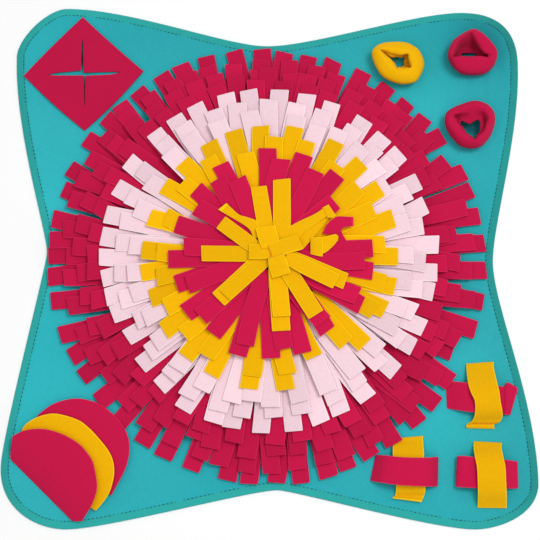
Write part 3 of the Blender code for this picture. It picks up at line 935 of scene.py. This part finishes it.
def cloth_slab(grids, thickness, rounding=0.6, rim=0.75):
    """Closed cloth round middle surfaces (pieces, rows, columns, 3).

    Each side lies half the thickness off along the surface's normal, less at the cut edges so
    that they are softly rounded; walls join the two sides all round. The cut mark is 1 on the
    walls and rim on the narrow faces next to the side and end cuts.
    """
    pieces, rows, columns = grids.shape[:3]
    across = np.gradient(grids, axis=2)
    down = np.gradient(grids, axis=1)
    normal = np.cross(across, down)
    normal /= np.maximum(np.linalg.norm(normal, axis=-1, keepdims=True), 1e-12)
    share = np.ones((rows, columns))
    share[[0, -1]] *= rounding
    share[:, [0, -1]] *= rounding
    offset = normal * (0.5 * thickness * share)[None, ..., None]
    points = np.stack([grids + offset, grids - offset], axis=1)
    size = rows * columns
    number = np.arange(2 * size).reshape(2, rows, columns)
    top, under = number
    flat = [
        np.stack([top[:-1, :-1], top[:-1, 1:], top[1:, 1:], top[1:, :-1]], -1),
        np.stack([under[1:, :-1], under[1:, 1:], under[:-1, 1:], under[:-1, :-1]], -1),
    ]
    wall = [
        np.stack([top[:-1, 0], top[1:, 0], under[1:, 0], under[:-1, 0]], -1),
        np.stack([top[1:, -1], top[:-1, -1], under[:-1, -1], under[1:, -1]], -1),
        np.stack([top[0, 1:], top[0, :-1], under[0, :-1], under[0, 1:]], -1),
        np.stack([top[-1, :-1], top[-1, 1:], under[-1, 1:], under[-1, :-1]], -1),
    ]
    faces = np.concatenate([part.reshape(-1, 4) for part in flat + wall])
    near_cut = np.zeros((rows - 1, columns - 1))
    near_cut[-1] = rim
    near_cut[:, [0, -1]] = rim
    walls = np.ones(2 * (rows + columns - 2))
    cut_mark = np.concatenate([near_cut.ravel(), near_cut.ravel() * 0.0, walls])
    faces = (faces[None] + np.arange(pieces)[:, None, None] * 2 * size).reshape(-1, 4)
    return points.reshape(-1, 3), faces, np.tile(cut_mark, pieces)


def cloth_piece(name, grids, thickness, shades, material):
    """One object of closed cloth, with a shade for each sheet and its cut edges marked."""
    points, faces, cut_mark = cloth_slab(grids, thickness)
    shades = np.repeat(shades, len(points) // len(grids))
    marks = [("strip_tone_and_painted_light", "POINT", shades), ("cut_edge", "FACE", cut_mark)]
    piece = new_piece(name, points * MM, faces.tolist(), marks, sharp=CUT_ANGLE)
    piece.data.materials.append(material)
    return piece


def facing_up(grid):
    """The grid, its columns turned round if its normal in the middle points down."""
    r, c = grid.shape[0] // 2, grid.shape[1] // 2
    normal = np.cross(grid[r, c + 1] - grid[r, c], grid[r + 1, c] - grid[r, c])
    return grid[:, ::-1] if normal[2] < 0.0 else grid


for name, outline, cad_node, *sizes in FLAPS:
    grid = flap_grid(outline, *sizes)
    sheet = facing_up(grid)[None]
    colour = "yellow" if cad_node == "middle_flap" else "crimson"
    flap = cloth_piece(name, sheet, FLAP_T, [FLAP_SHADES[colour]], FLEECE[colour])
    welded(flap, closed=True)
    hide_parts(cad_node)
    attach(flap, "root")

# Strap crosses: two short bands of fleece at right angles, each sewn down at its ends and arched
# in between, the upper one over the lower. Some ends are turned under or lie askew.
STRAP_T = 1.8
# station: one edge (u, v), the other edge (u, v), height (mm)
STRAP_A_LOW = [
    ((446, 382), (447, 408.3), 4.2), ((450, 381.3), (450.5, 409), 5.5),
    ((459, 381.8), (459.5, 410.3), 10), ((468, 382.8), (470, 412), 13.5),
    ((485, 385.5), (486, 413), 13.5), ((499, 386), (499, 414), 9.5),
    ((504, 386.5), (503, 414.5), 6.5), ((507, 382.5), (505, 414.5), 7.5),
    ((512, 384.5), (507.5, 415), 6.5), ((518, 388.5), (510, 415), 4.4),
]
STRAP_A_HIGH = [
    ((466.5, 363.8), (493.5, 362), 4.4), ((466.5, 370), (494, 369), 8),
    ((468.3, 384), (497, 382.5), 17), ((471.3, 393), (499.3, 391.5), 20.5),
    ((474.6, 400), (500.4, 401), 20.5), ((475.3, 407), (502, 409), 19),
    ((474.8, 414.5), (502.6, 414.5), 15), ((473.3, 419), (501.8, 418.5), 10.5),
    ((471, 422), (499, 422.2), 7.5), ((468, 423.6), (494.8, 424), 3.8),
    ((466.4, 425.4), (494, 425.6), 6.6), ((466.6, 428), (494.6, 428.6), 5.0),
]
STRAP_B_LOW = [
    ((393.5, 438.5), (423, 436), 4.2), ((393, 442), (423, 440), 5),
    ((392.8, 447.5), (423.5, 448), 9), ((392.8, 455), (424, 455), 12.5),
    ((393, 462), (424, 462), 13.5), ((394.5, 473), (425, 473), 13.5),
    ((396, 484), (425.5, 485), 12), ((396, 491), (425, 492), 8.5), ((395, 495), (424, 495.5), 5.2),
    ((394, 496.5), (423.5, 497.5), 5.4), ((392.5, 498), (421.5, 502), 7.5),
]
STRAP_B_HIGH = [
    ((376, 455), (370.5, 480.5), 4.4), ((378.5, 455), (374, 481.5), 8),
    ((387, 455.5), (384, 483), 17), ((400, 457), (398, 485), 20.5),
    ((414, 457.5), (413, 486), 20.5), ((428, 457.5), (427, 486.5), 17),
    ((435, 457), (435, 486.5), 9), ((438, 457), (437.5, 486), 4.4),
]
STRAP_C_LOW = [
    ((467, 457), (466, 486.5), 4.3), ((460.5, 456.5), (459.5, 486), 4.8),
    ((457.8, 456.2), (456.6, 486), 8), ((459, 456), (457.8, 487), 11.5),
    ((465, 456), (464, 487.3), 13.5), ((474, 457), (473, 488), 14),
    ((488, 458.5), (488, 488.5), 13.5), ((503, 459.5), (503, 488.5), 11),
    ((514, 461), (514.5, 488.5), 6), ((517.5, 461.5), (518, 488.3), 4.4),
]
STRAP_C_HIGH = [
    ((474, 441.5), (501.8, 443), 4.4), ((473.6, 447), (501.5, 448), 9),
    ((474.8, 456), (503.3, 457.5), 17), ((477, 467), (505.3, 467), 20.5),
    ((477.7, 480), (506, 480), 20.5), ((478, 492), (506.6, 493), 16.5),
    ((477.8, 502), (506.8, 502.5), 8.5), ((477.5, 507.5), (506.5, 508), 4.4),
]
STRAP_SHADES = {"crimson": 0.09, "yellow": -0.06}
STRAPS = [
    ("strap_a_under", STRAP_A_LOW, "strap_a_low", "crimson"),
    ("strap_a_over", STRAP_A_HIGH, "strap_a_high", "yellow"),
    ("strap_b_under", STRAP_B_LOW, "strap_b_low", "yellow"),
    ("strap_b_over", STRAP_B_HIGH, "strap_b_high", "crimson"),
    ("strap_c_under", STRAP_C_LOW, "strap_c_low", "crimson"),
    ("strap_c_over", STRAP_C_HIGH, "strap_c_high", "yellow"),
]
STRAP_ROWS = 44
STRAP_COLUMNS = np.concatenate([[0.0, 0.03], np.linspace(0.12, 0.88, 9), [0.97, 1.0]])


def strap_grid(stations):
    """The strap's middle surface: a curve through the stations, straight across between edges."""
    heights = np.array([row[2] for row in stations], float) * MM
    edges = [view_point(*np.array([row[i] for row in stations], float).T, heights) for i in (0, 1)]
    first, second = (np.stack([x, y, heights], 1) / MM for x, y in edges)
    first = smooth_between(first, STRAP_ROWS)[:, None]
    second = smooth_between(second, STRAP_ROWS)[:, None]
    return first + (second - first) * STRAP_COLUMNS[None, :, None]


strap_grids = []
for name, stations, cad_node, colour in STRAPS:
    grid = strap_grid(stations)
    strap_grids.append(grid)
    sheet = facing_up(grid)[None]
    strap = cloth_piece(name, sheet, STRAP_T, [STRAP_SHADES[colour]], FLEECE[colour])
    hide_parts(cad_node)
    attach(strap, "root")

# Strip pile: nearly four hundred fleece strips, cut about 21 mm wide, each sewn to the base at
# its inner end and laid outwards over the row below, so that the rows rise to a low dome.
STRIP_HALF = 10.3
STRIP_T = 1.5
RING_CENTRE = np.array([0.0, -6.0])
COUNT_CENTRE = (268.5, 264.0)
STATIONS = 16
CORNER_RUN = (1.5, 0.5)
CORNER_NARROW = (0.0, 0.015, 0.06)
COLUMNS = np.array([-1.0, -0.92, -0.5, 0.0, 0.5, 0.92, 1.0])
# how far strips differ: bow (mm), slant of the cut end, width (share), curl of the end (mm)
BOW_SPREAD, CUT_SPREAD, WIDTH_SPREAD, CURL_SPREAD = 1.6, 0.045, 0.03, 0.35
# a strip is narrower where it is sewn: its share of the width there
ROOT_SHARE = 0.86
# height that a cut end was noted at, under its row's outer height (mm)
END_DROP = 5.0
# a stem: its foot (mm), how far in its two rows lie, how far its top is under the strip
STEM_FOOT = 4.4
STEM_IN = (2.2, 1.8)
STEM_TOP = 2.6
FIELD_HALF = 330
FIELD = np.full((2 * FIELD_HALF, 2 * FIELD_HALF), CLOTH_TOP)
FIELD_REACH = 1.5
FIELD_FILL = (150, 30)
STRAP_FILL = (240, 90)
RELAX_STEPS = 60
RELAX_FLAT = 0.65
SAG = 0.03
DROOP = 7.0
DROOP_RUN = 34.0
REST_GAP = 0.2
ROOT_SPREAD = 0.035
STRIP_SEED = 11
strip_rng = np.random.default_rng(STRIP_SEED)


def field_height(plan):
    """Highest point so far within reach of each place: the largest of nine readings."""
    column = plan[..., 0] + FIELD_HALF
    row = plan[..., 1] + FIELD_HALF
    found = np.zeros(plan.shape[:-1])
    for dx in (-FIELD_REACH, 0.0, FIELD_REACH):
        for dy in (-FIELD_REACH, 0.0, FIELD_REACH):
            c = np.clip((column + dx).astype(int), 0, 2 * FIELD_HALF - 1)
            r = np.clip((row + dy).astype(int), 0, 2 * FIELD_HALF - 1)
            found = np.maximum(found, FIELD[r, c])
    return found


def spread(count, stations):
    """Weights that read a run of stations at count even places in between, by straight lines."""
    at = np.linspace(0.0, stations - 1.0, count)
    low = np.minimum(at.astype(int), stations - 2)
    weight = np.zeros((count, stations))
    weight[np.arange(count), low] = 1.0 - (at - low)
    weight[np.arange(count), low + 1] += at - low
    return weight


# the strips lie over what the straps already cover
dense_rows = spread(STRAP_FILL[0], STRAP_ROWS)
dense_columns = spread(STRAP_FILL[1], len(STRAP_COLUMNS))
dense = np.einsum("ar,srcd,bc->dsab", dense_rows, np.array(strap_grids), dense_columns)
column, row, height = dense.reshape(3, -1)
cell = ((row + FIELD_HALF).astype(int), (column + FIELD_HALF).astype(int))
np.maximum.at(FIELD, cell, height + STRAP_T / 2)
FILL_ALONG = spread(FIELD_FILL[0], STATIONS)
FILL_ACROSS = read_along(np.eye(len(COLUMNS)), COLUMNS, np.linspace(-1, 1, FIELD_FILL[1])).T


def raise_field(plan, top):
    """Write a laid strip into the height field at about every half millimetre of it."""
    x = FILL_ALONG @ plan[..., 0] @ FILL_ACROSS
    y = FILL_ALONG @ plan[..., 1] @ FILL_ACROSS
    z = FILL_ALONG @ top @ FILL_ACROSS
    c = np.clip((x + FIELD_HALF).astype(int), 0, 2 * FIELD_HALF - 1).ravel()
    r = np.clip((y + FIELD_HALF).astype(int), 0, 2 * FIELD_HALF - 1).ravel()
    np.maximum.at(FIELD, (r, c), z.ravel())


def lay_strip(root, tip, crest, outer, half=STRIP_HALF, bowed=True):
    """Lay one strip over what is there and return its middle surface, (stations, columns, 3).

    The plan is a straight run with a slight bow and a cut end that is a little off square. Each
    point is then pulled to the mean of its neighbours along the strip and to a straight line
    across it, sags a little, and never goes below the field or the pile's own support.
    """
    run = tip - root
    length = np.hypot(*run)
    s = np.append(
        np.linspace(0.0, 1.0 - CORNER_RUN[0] / length, STATIONS - 2),
        [1.0 - CORNER_RUN[1] / length, 1.0],
    )[:, None]
    heading = run / length
    side = np.array([heading[1], -heading[0]])
    bend = strip_rng.normal(0.0, BOW_SPREAD) if bowed else 0.0
    cut = strip_rng.normal(0.0, CUT_SPREAD)
    centre = root + run * s + side * bend * np.sin(np.pi * s)
    width = half * (1.0 + strip_rng.normal(0.0, WIDTH_SPREAD))
    width = width * (ROOT_SHARE + (1.0 - ROOT_SHARE) * np.minimum(1.0, s * 3.0))
    turned = side[None] + heading[None] * cut * s ** 6
    columns = np.broadcast_to(COLUMNS, (STATIONS, len(COLUMNS))).copy()
    columns[-3:, [0, 1, -2, -1]] *= 1.0 - np.array(CORNER_NARROW)[:, None]
    plan = centre[:, None] + (width * columns)[..., None] * turned[:, None]
    support = crest + (outer - crest) * s
    fade = np.clip((length * (s - 1.0) + DROOP_RUN) / DROOP_RUN, 0.0, 1.0)
    support = support - DROOP * fade ** 2 * (3.0 - 2.0 * fade)
    bound = np.maximum(field_height(plan) + REST_GAP + STRIP_T / 2, support)
    z = np.broadcast_to(bound.max(axis=1, keepdims=True), bound.shape).copy()
    for _ in range(RELAX_STEPS):
        padded = np.vstack([z[:1], z, z[-1:]])
        along = 0.5 * (padded[:-2] + padded[2:])
        mean = along.mean(axis=1, keepdims=True)
        slope = (along * COLUMNS).sum(axis=1, keepdims=True) / (COLUMNS ** 2).sum()
        flat = mean + slope * COLUMNS
        z = np.maximum(bound, RELAX_FLAT * flat + (1.0 - RELAX_FLAT) * along - SAG)
    curl = strip_rng.normal(0.0, CURL_SPREAD, 2)
    z = z + s ** 10 * (np.abs(curl[0]) + curl[1] * COLUMNS)
    raise_field(plan, z + STRIP_T / 2)
    return np.concatenate([plan, z[..., None]], -1)


def with_stem(middle, foot=STEM_FOOT):
    """Add the strip's upright inner end: two rows that lead up from where it is sewn down."""
    first = middle[0]
    inward = middle[0] - middle[1]
    inward[:, 2] = 0.0
    inward /= np.linalg.norm(inward, axis=1)[:, None]
    low = first + inward * STEM_IN[0]
    low[:, 2] = foot
    high = first + inward * STEM_IN[1]
    high[:, 2] = np.maximum(foot + 0.5, first[:, 2] - STEM_TOP)
    return np.concatenate([low[None], high[None], middle])


# each strip's cut end, row by row: angle clockwise from the back (degrees) and reach in (u, v),
# both about the count's centre
CRIMSON_1 = (
    (4.4, 211), (11.1, 211), (17.8, 213), (26.4, 214), (34.1, 214), (40.8, 213), (47, 214),
    (53.7, 215.5), (65, 216), (70, 216), (77.3, 216), (84.6, 217), (91.8, 217.5), (100.3, 218),
    (107.8, 217.5), (115.7, 204), (123.1, 217.5), (130, 220), (136.7, 220), (145.2, 220),
    (151.9, 219), (158.7, 220.5), (164.2, 222), (171.5, 222), (178, 219), (185.1, 221),
    (190.8, 220.5), (200.7, 220.5), (208.6, 221), (215, 220.5), (223.2, 219), (230.9, 220),
    (238.6, 219), (244.5, 219), (251, 220.5), (260.2, 220.5), (266.4, 220.5), (272, 220),
    (276, 219.5), (281.7, 220), (290, 218), (295.6, 220.5), (304.4, 221), (311.8, 218.5),
    (316.9, 218), (322.7, 217), (330.3, 217), (336, 217), (343.2, 216), (350.8, 215),
    (358.2, 214),
)
CRIMSON_2 = (
    (6, 204), (14, 203), (20, 201), (30, 203), (38, 203), (42.5, 203), (51, 204), (60, 205),
    (74, 206), (84, 207), (92, 203), (100, 209), (112, 205), (124, 207), (134, 205),
    (138.7, 207.5), (149, 209.5), (158, 209), (164.5, 208), (172, 208), (179, 210), (186, 210),
    (194, 208), (199.5, 207), (208.7, 206), (217.3, 206), (225.8, 203.5), (235, 200),
    (242.7, 204), (249, 204), (258, 205), (266, 205), (272, 202), (279.5, 208), (288, 209),
    (294, 209), (300.5, 209), (308, 209), (316, 209), (324.4, 207.5), (332, 206), (337, 206),
    (342.5, 206), (350, 202), (358, 204),
)
CRIMSON_3 = (
    (0, 195), (7, 191), (12, 192), (18, 192), (27, 192.5), (34.4, 192), (41.4, 193), (48, 190),
    (56, 190), (64, 189), (81, 190), (90, 191), (99, 194), (111, 190.5), (117, 191.5),
    (125, 191), (133.5, 191), (144, 194), (151, 195), (163, 194.5), (171, 193), (177.5, 192),
    (186.5, 195.5), (197.5, 193.5), (203, 190), (214, 193), (223.6, 192), (232.5, 189),
    (240.3, 191), (250.6, 191), (260, 191), (267, 191), (275, 196), (282, 196), (289.4, 196),
    (299, 197), (308, 199), (316, 198), (323.6, 196), (330.5, 196), (337.5, 196), (343.9, 196),
    (350, 190), (357, 193),
)
CRIMSON_4 = (
    (5, 182), (13.4, 182), (19.5, 181), (29, 182), (38, 181), (45, 178), (51, 181), (61, 181),
    (80.6, 182), (90, 178), (98, 179.5), (106, 179), (113, 180), (119.7, 179.5), (132, 178),
    (143, 181), (152, 181), (159, 181), (169, 180.5), (178, 181), (191, 182), (202, 181),
    (209, 181), (220.6, 176), (228.4, 176), (240, 177.5), (248.3, 181), (258, 181), (267.5, 181),
    (273, 181), (280, 181), (289, 182), (294, 180), (299, 184), (309, 187), (318, 186),
    (324.5, 185), (333, 185), (343, 185.5), (356, 183),
)
PINK_1 = (
    (3.75, 173.5), (13, 173), (21.7, 172.5), (33.8, 173), (42.5, 171.5), (50.1, 172),
    (61.4, 171), (69.5, 167.5), (83.7, 171), (93.3, 168.5), (99.9, 167.5), (112.7, 168.5),
    (120.1, 167.5), (130.6, 167.5), (143.6, 168), (154.2, 167), (161.7, 168), (171.4, 169.5),
    (182.6, 169.5), (192.8, 168.5), (199.2, 168.5), (210.4, 169.5), (221.4, 165), (231.4, 164),
    (242.3, 160), (251.6, 164.5), (258, 166), (264.6, 167), (272, 169), (279.2, 169),
    (286.7, 170), (296.6, 170.5), (306.1, 174), (318.9, 174), (327.1, 174), (335, 174.5),
    (345.8, 174.5), (353.4, 174),
)
PINK_2 = (
    (0, 163.5), (10.3, 162), (20, 162), (32.5, 161), (43.2, 158.5), (51, 160), (62.9, 158),
    (76.3, 159), (90, 156.5), (99.8, 155.5), (108.5, 154.5), (120.3, 154.5), (132.3, 152.5),
    (143.3, 153), (154, 154.5), (167.5, 154), (178, 154), (190, 156), (199, 156), (211.6, 156.5),
    (221.3, 151), (233.3, 150), (246.5, 145), (256, 153), (266.5, 154), (277.7, 153.5),
    (286.2, 154), (295.8, 156), (306.5, 160), (319, 162.5), (328.3, 163), (340, 162.5),
    (349, 163),
)
PINK_3 = (
    (11, 150), (20, 146), (28, 151.5), (39, 150), (49, 149), (57, 143), (66, 146.5),
    (73.5, 146), (87, 145), (97, 143.5), (108.7, 144), (116.5, 143.5), (128, 142), (141, 142),
    (155, 142), (167, 142), (179, 143.5), (187, 139), (195, 143.5), (208, 143), (221, 140),
    (235, 139.5), (246, 136), (257.5, 140.5), (266, 141), (277.5, 140), (293, 144), (304, 146),
    (318, 150), (328, 151), (339.7, 151), (352.8, 153),
)
YELLOW_1 = (
    (11.1, 138.5), (29.2, 139), (42.8, 137), (56, 134.5), (70.3, 132.5), (87, 129.5),
    (100.6, 128.5), (111.8, 125.5), (130.2, 126), (172.1, 127.5), (188.9, 127), (207.1, 125.5),
    (221.5, 125), (237.3, 124.5), (253.4, 123), (265.6, 127.5), (276, 127), (291, 127.5),
    (306.6, 130), (319.5, 132.5), (333.6, 134.5), (345.2, 137), (356.8, 137),
)
YELLOW_2 = (
    (2.5, 126.5), (17.5, 128), (35, 120), (50, 118), (63, 118), (81, 118), (100, 118),
    (114, 116), (135.8, 111.5), (154, 104), (170, 112), (188.2, 114), (214, 112), (230, 111),
    (246.6, 112), (262.8, 112.5), (276, 112), (294.7, 113), (312.8, 118), (330, 121.5),
    (348, 112),
)
INNER_1 = (
    (359.4, 114.5), (18.2, 114), (37.8, 112), (82, 105), (94.5, 104.5),
    (114.5, 102), (139.2, 90), (159, 96), (178.4, 95), (198.7, 97), (218, 90), (239, 96.5),
    (257, 94.5), (272, 100), (293, 100), (315.5, 103.5), (334, 109.5),
)
INNER_2 = (
    (7.2, 104.5), (27, 103.5), (47, 90), (88.5, 96), (110, 95), (136.9, 80), (169.5, 87),
    (196, 85), (231.6, 86.5), (255, 84), (281, 86), (308, 91), (329, 98), (339.5, 89),
)
# rows from the lowest up: ends, root radius, crest height, height of the outer end before it
# droops (mm)
OUTER_CRIMSON = [
    (CRIMSON_1, 168, 8.5, 9.0), (CRIMSON_2, 154, 13.5, 13.5), (CRIMSON_3, 140, 18.5, 18.0),
    (CRIMSON_4, 122, 23.0, 22.0),
]
PINKS = [(PINK_1, 108, 27.5, 26.0), (PINK_2, 92, 32.0, 31.0), (PINK_3, 74, 36.0, 35.0)]
YELLOWS = [(YELLOW_1, 62, 39.5, 38.5), (YELLOW_2, 48, 42.5, 41.5)]
INNER_CRIMSON = [(INNER_1, 30, 46.0, 44.5), (INNER_2, 18, 49.0, 47.5)]


def lay_rows(rows):
    """Lay each row's strips in a mixed order, and give them their stems."""
    laid = []
    for ends, root_radius, crest, outer in rows:
        for number in strip_rng.permutation(len(ends)):
            angle, reach = ends[number]
            turn = np.radians(angle)
            u = COUNT_CENTRE[0] + reach * np.sin(turn)
            v = COUNT_CENTRE[1] - reach * np.cos(turn)
            tip = np.array(view_point(u, v, (outer - END_DROP) * MM)) / MM
            outward = tip - RING_CENTRE
            root_turn = np.arctan2(*outward) + strip_rng.normal(0.0, ROOT_SPREAD)
            root = RING_CENTRE + root_radius * np.array([np.sin(root_turn), np.cos(root_turn)])
            laid.append(with_stem(lay_strip(root, tip, crest, outer)))
    return np.array(laid)


def strip_piece(name, grids, material, nodes, shade=0.0, shade_spread=0.045):
    """One object of many laid strips, whose shades differ a little."""
    shades = strip_rng.normal(shade, shade_spread, len(grids))
    piece = cloth_piece(name, grids, STRIP_T, shades, material)
    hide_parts(*nodes)
    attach(piece, "root")


PINK = (0.880, 0.640, 0.710, 1.0)
PINK_CUT = (0.960, 0.820, 0.870, 1.0)
pink_fleece = fleece_material("brushed_pink", PINK, PINK_CUT)

strip_piece(
    "crimson_strips", lay_rows(OUTER_CRIMSON), crimson_fleece,
    ("crimson_row_1", "crimson_row_2", "crimson_row_3"),
)
strip_piece(
    "pink_strips", lay_rows(PINKS), pink_fleece, ("pink_row_1", "pink_row_2")
)
strip_piece("yellow_strips", lay_rows(YELLOWS), yellow_fleece, ("yellow_row",))
# strips that turn over on themselves: one edge (u, v, mm), the other edge (u, v, mm)
CRIMSON_TWISTED = [
    [
        ((341, 230, 49), (336, 234, 48.5)), ((343, 234.5, 48), (338.5, 238.5, 47)),
        ((345.5, 239, 47), (341.5, 243, 45.5)), ((348.5, 243, 45.5), (346, 246, 44.5)),
        ((352, 246.5, 44), (350, 248.5, 44)),
    ],
    [
        ((322.3, 233.5, 50), (334, 235, 48.5)), ((327.5, 223.5, 52.5), (338, 233, 50.5)),
        ((334.5, 217.8, 53.5), (341.5, 230.5, 51.5)), ((337.8, 216.3, 53.5), (343.2, 227.8, 52)),
        ((345, 216.6, 52.5), (348, 226.8, 51.5)), ((353.5, 217, 50.5), (353.5, 226, 50.5)),
    ],
]


def turned_strip(stations):
    """A strip's middle surface between two noted edges, each a smooth curve in space."""
    edges = []
    for side in (0, 1):
        u, v, height = np.array([row[side] for row in stations], float).T
        x, y = view_point(u, v, height * MM)
        edges.append(smooth_between(np.stack([x, y, height * MM], 1) / MM, STATIONS + 2)[:, None])
    return edges[0] + (edges[1] - edges[0]) * (0.5 + 0.5 * COLUMNS)[None, :, None]


def turned_strips(table):
    """The middle surfaces of a table of turned strips, each with its columns facing up."""
    return np.array([facing_up(turned_strip(stations)) for stations in table])


# painted light: the inner crimson strips are made lighter, for lying higher in the light
strip_piece(
    "inner_crimson_strips",
    np.concatenate([lay_rows(INNER_CRIMSON), turned_strips(CRIMSON_TWISTED)]),
    crimson_fleece, ("inner_crimson_row",), shade=0.10,
)

# Star: seventeen long strips of yellow fleece sewn down at the very middle, six of them twisted,
# with four short square-ended strips folded over them crosswise.
STAR_FOOT = 44.0
STAR_DROP = 2.0
# a width across in (u, v) is this many mm on the star
STAR_MEASURE = 1.115
# each strip: inner end (u, v), cut end (u, v), width across in the same measure, crest and outer
# height (mm)
STAR_LONG = [
    ((262, 255), (201.5, 254), 16.5, 52.0, 51.0),  # left
    ((268, 255), (218.5, 300), 17.0, 51.5, 50.0),  # front left, under
    ((272, 254), (225, 296), 16.0, 53.0, 51.5),  # front left
    ((276, 256), (281.3, 331), 18.0, 52.0, 50.5),  # front, under
    ((276, 257), (281.8, 317), 17.5, 53.5, 52.0),  # front
    ((279, 258), (316, 315), 17.0, 52.5, 51.0),  # front right
    ((285, 257), (345.5, 282), 17.0, 51.5, 50.0),  # right, under
    ((286, 259), (336, 282.5), 16.5, 53.5, 52.0),  # right
    ((261, 253), (221, 223), 15.6, 52.5, 51.0),  # back left
    ((268, 243), (258.7, 187), 15.5, 53.0, 52.0),  # back, left of two
    ((282, 244), (281.8, 179.5), 18.0, 53.5, 52.0),  # back, right of two
]
STAR_STUBS = [
    ((269, 253), (249, 253), 16.5, 55.5, 55.5),  # left
    ((270.5, 248), (265.5, 228), 20.5, 56.0, 56.0),  # up
    ((271, 252.5), (300, 243), 16.5, 57.5, 57.0),  # right
    ((276, 258.5), (281.5, 277), 20.0, 57.5, 57.0),  # down
]
# strips that turn over on themselves: one edge (u, v, mm), the other edge (u, v, mm)
STAR_TWISTED = [
    [
        ((303, 249, 51.5), (298, 236, 52)), ((311, 240, 51), (306, 230, 53)),
        ((320, 229, 51), (315, 221, 53)), ((326, 221.5, 51), (321, 213, 52.5)),
        ((330, 216.5, 50.5), (326, 209, 51.5)),
    ],
    [
        ((279, 241, 54), (297, 242, 53.5)), ((287, 229, 55), (301.5, 234.5, 54.5)),
        ((299, 221.5, 55.5), (309.5, 228, 55)), ((311, 216, 55.5), (317, 222.8, 55)),
        ((319, 211.5, 55.5), (324, 218, 55)), ((324, 207.3, 55), (329, 214.5, 54.5)),
    ],
    [
        ((322.5, 207.8, 56), (327.5, 217.8, 55.5)), ((325.5, 206.2, 57), (331.5, 217.3, 56)),
        ((328.5, 204.7, 56.5), (335.8, 215.6, 55.5)),
    ],
    [
        ((310.5, 237.5, 53.5), (310.5, 254, 53)), ((314.5, 237.5, 54.5), (314.5, 255, 54)),
        ((318.5, 237.5, 54.5), (318.5, 256, 54)), ((323, 237.5, 53.5), (322.5, 256.5, 53)),
    ],
    [
        ((321.5, 238, 52), (322, 253.8, 52)), ((327.5, 236.2, 52.5), (326.5, 251.8, 52)),
        ((334.7, 234.3, 51.5), (331, 248, 51)), ((337, 235, 51), (334.2, 244.8, 50.5)),
        ((338.4, 237, 50), (337.2, 241, 50)),
    ],
    [
        ((264, 233, 55), (254, 240, 55)), ((257, 221.5, 56), (250.5, 230.5, 55.5)),
        ((248, 217.5, 56), (244.5, 225.3, 55)), ((239, 214.6, 55.5), (237.5, 221, 54)),
        ((232, 208.5, 54.5), (229, 216, 54)), ((226.5, 203.2, 53), (218.2, 209.6, 53)),
    ],
]


def lay_star(strips):
    """Lay noted strips in turn, from their inner to their cut ends."""
    laid = []
    for inner, end, width, crest, outer in strips:
        root = np.array(view_point(*inner, crest * MM)) / MM
        tip = np.array(view_point(*end, (outer - STAR_DROP) * MM)) / MM
        half = 0.5 * width * STAR_MEASURE
        strip = lay_strip(root, tip, crest, outer, half=half, bowed=False)
        laid.append(with_stem(strip, foot=STAR_FOOT))
    return np.array(laid)


long_strips = lay_star(STAR_LONG)
star = np.concatenate([long_strips, turned_strips(STAR_TWISTED), lay_star(STAR_STUBS)])
strip_piece(
    "star_strips", star, yellow_fleece, ("star_row", "star_tuft"),
    shade_spread=0.02,
)
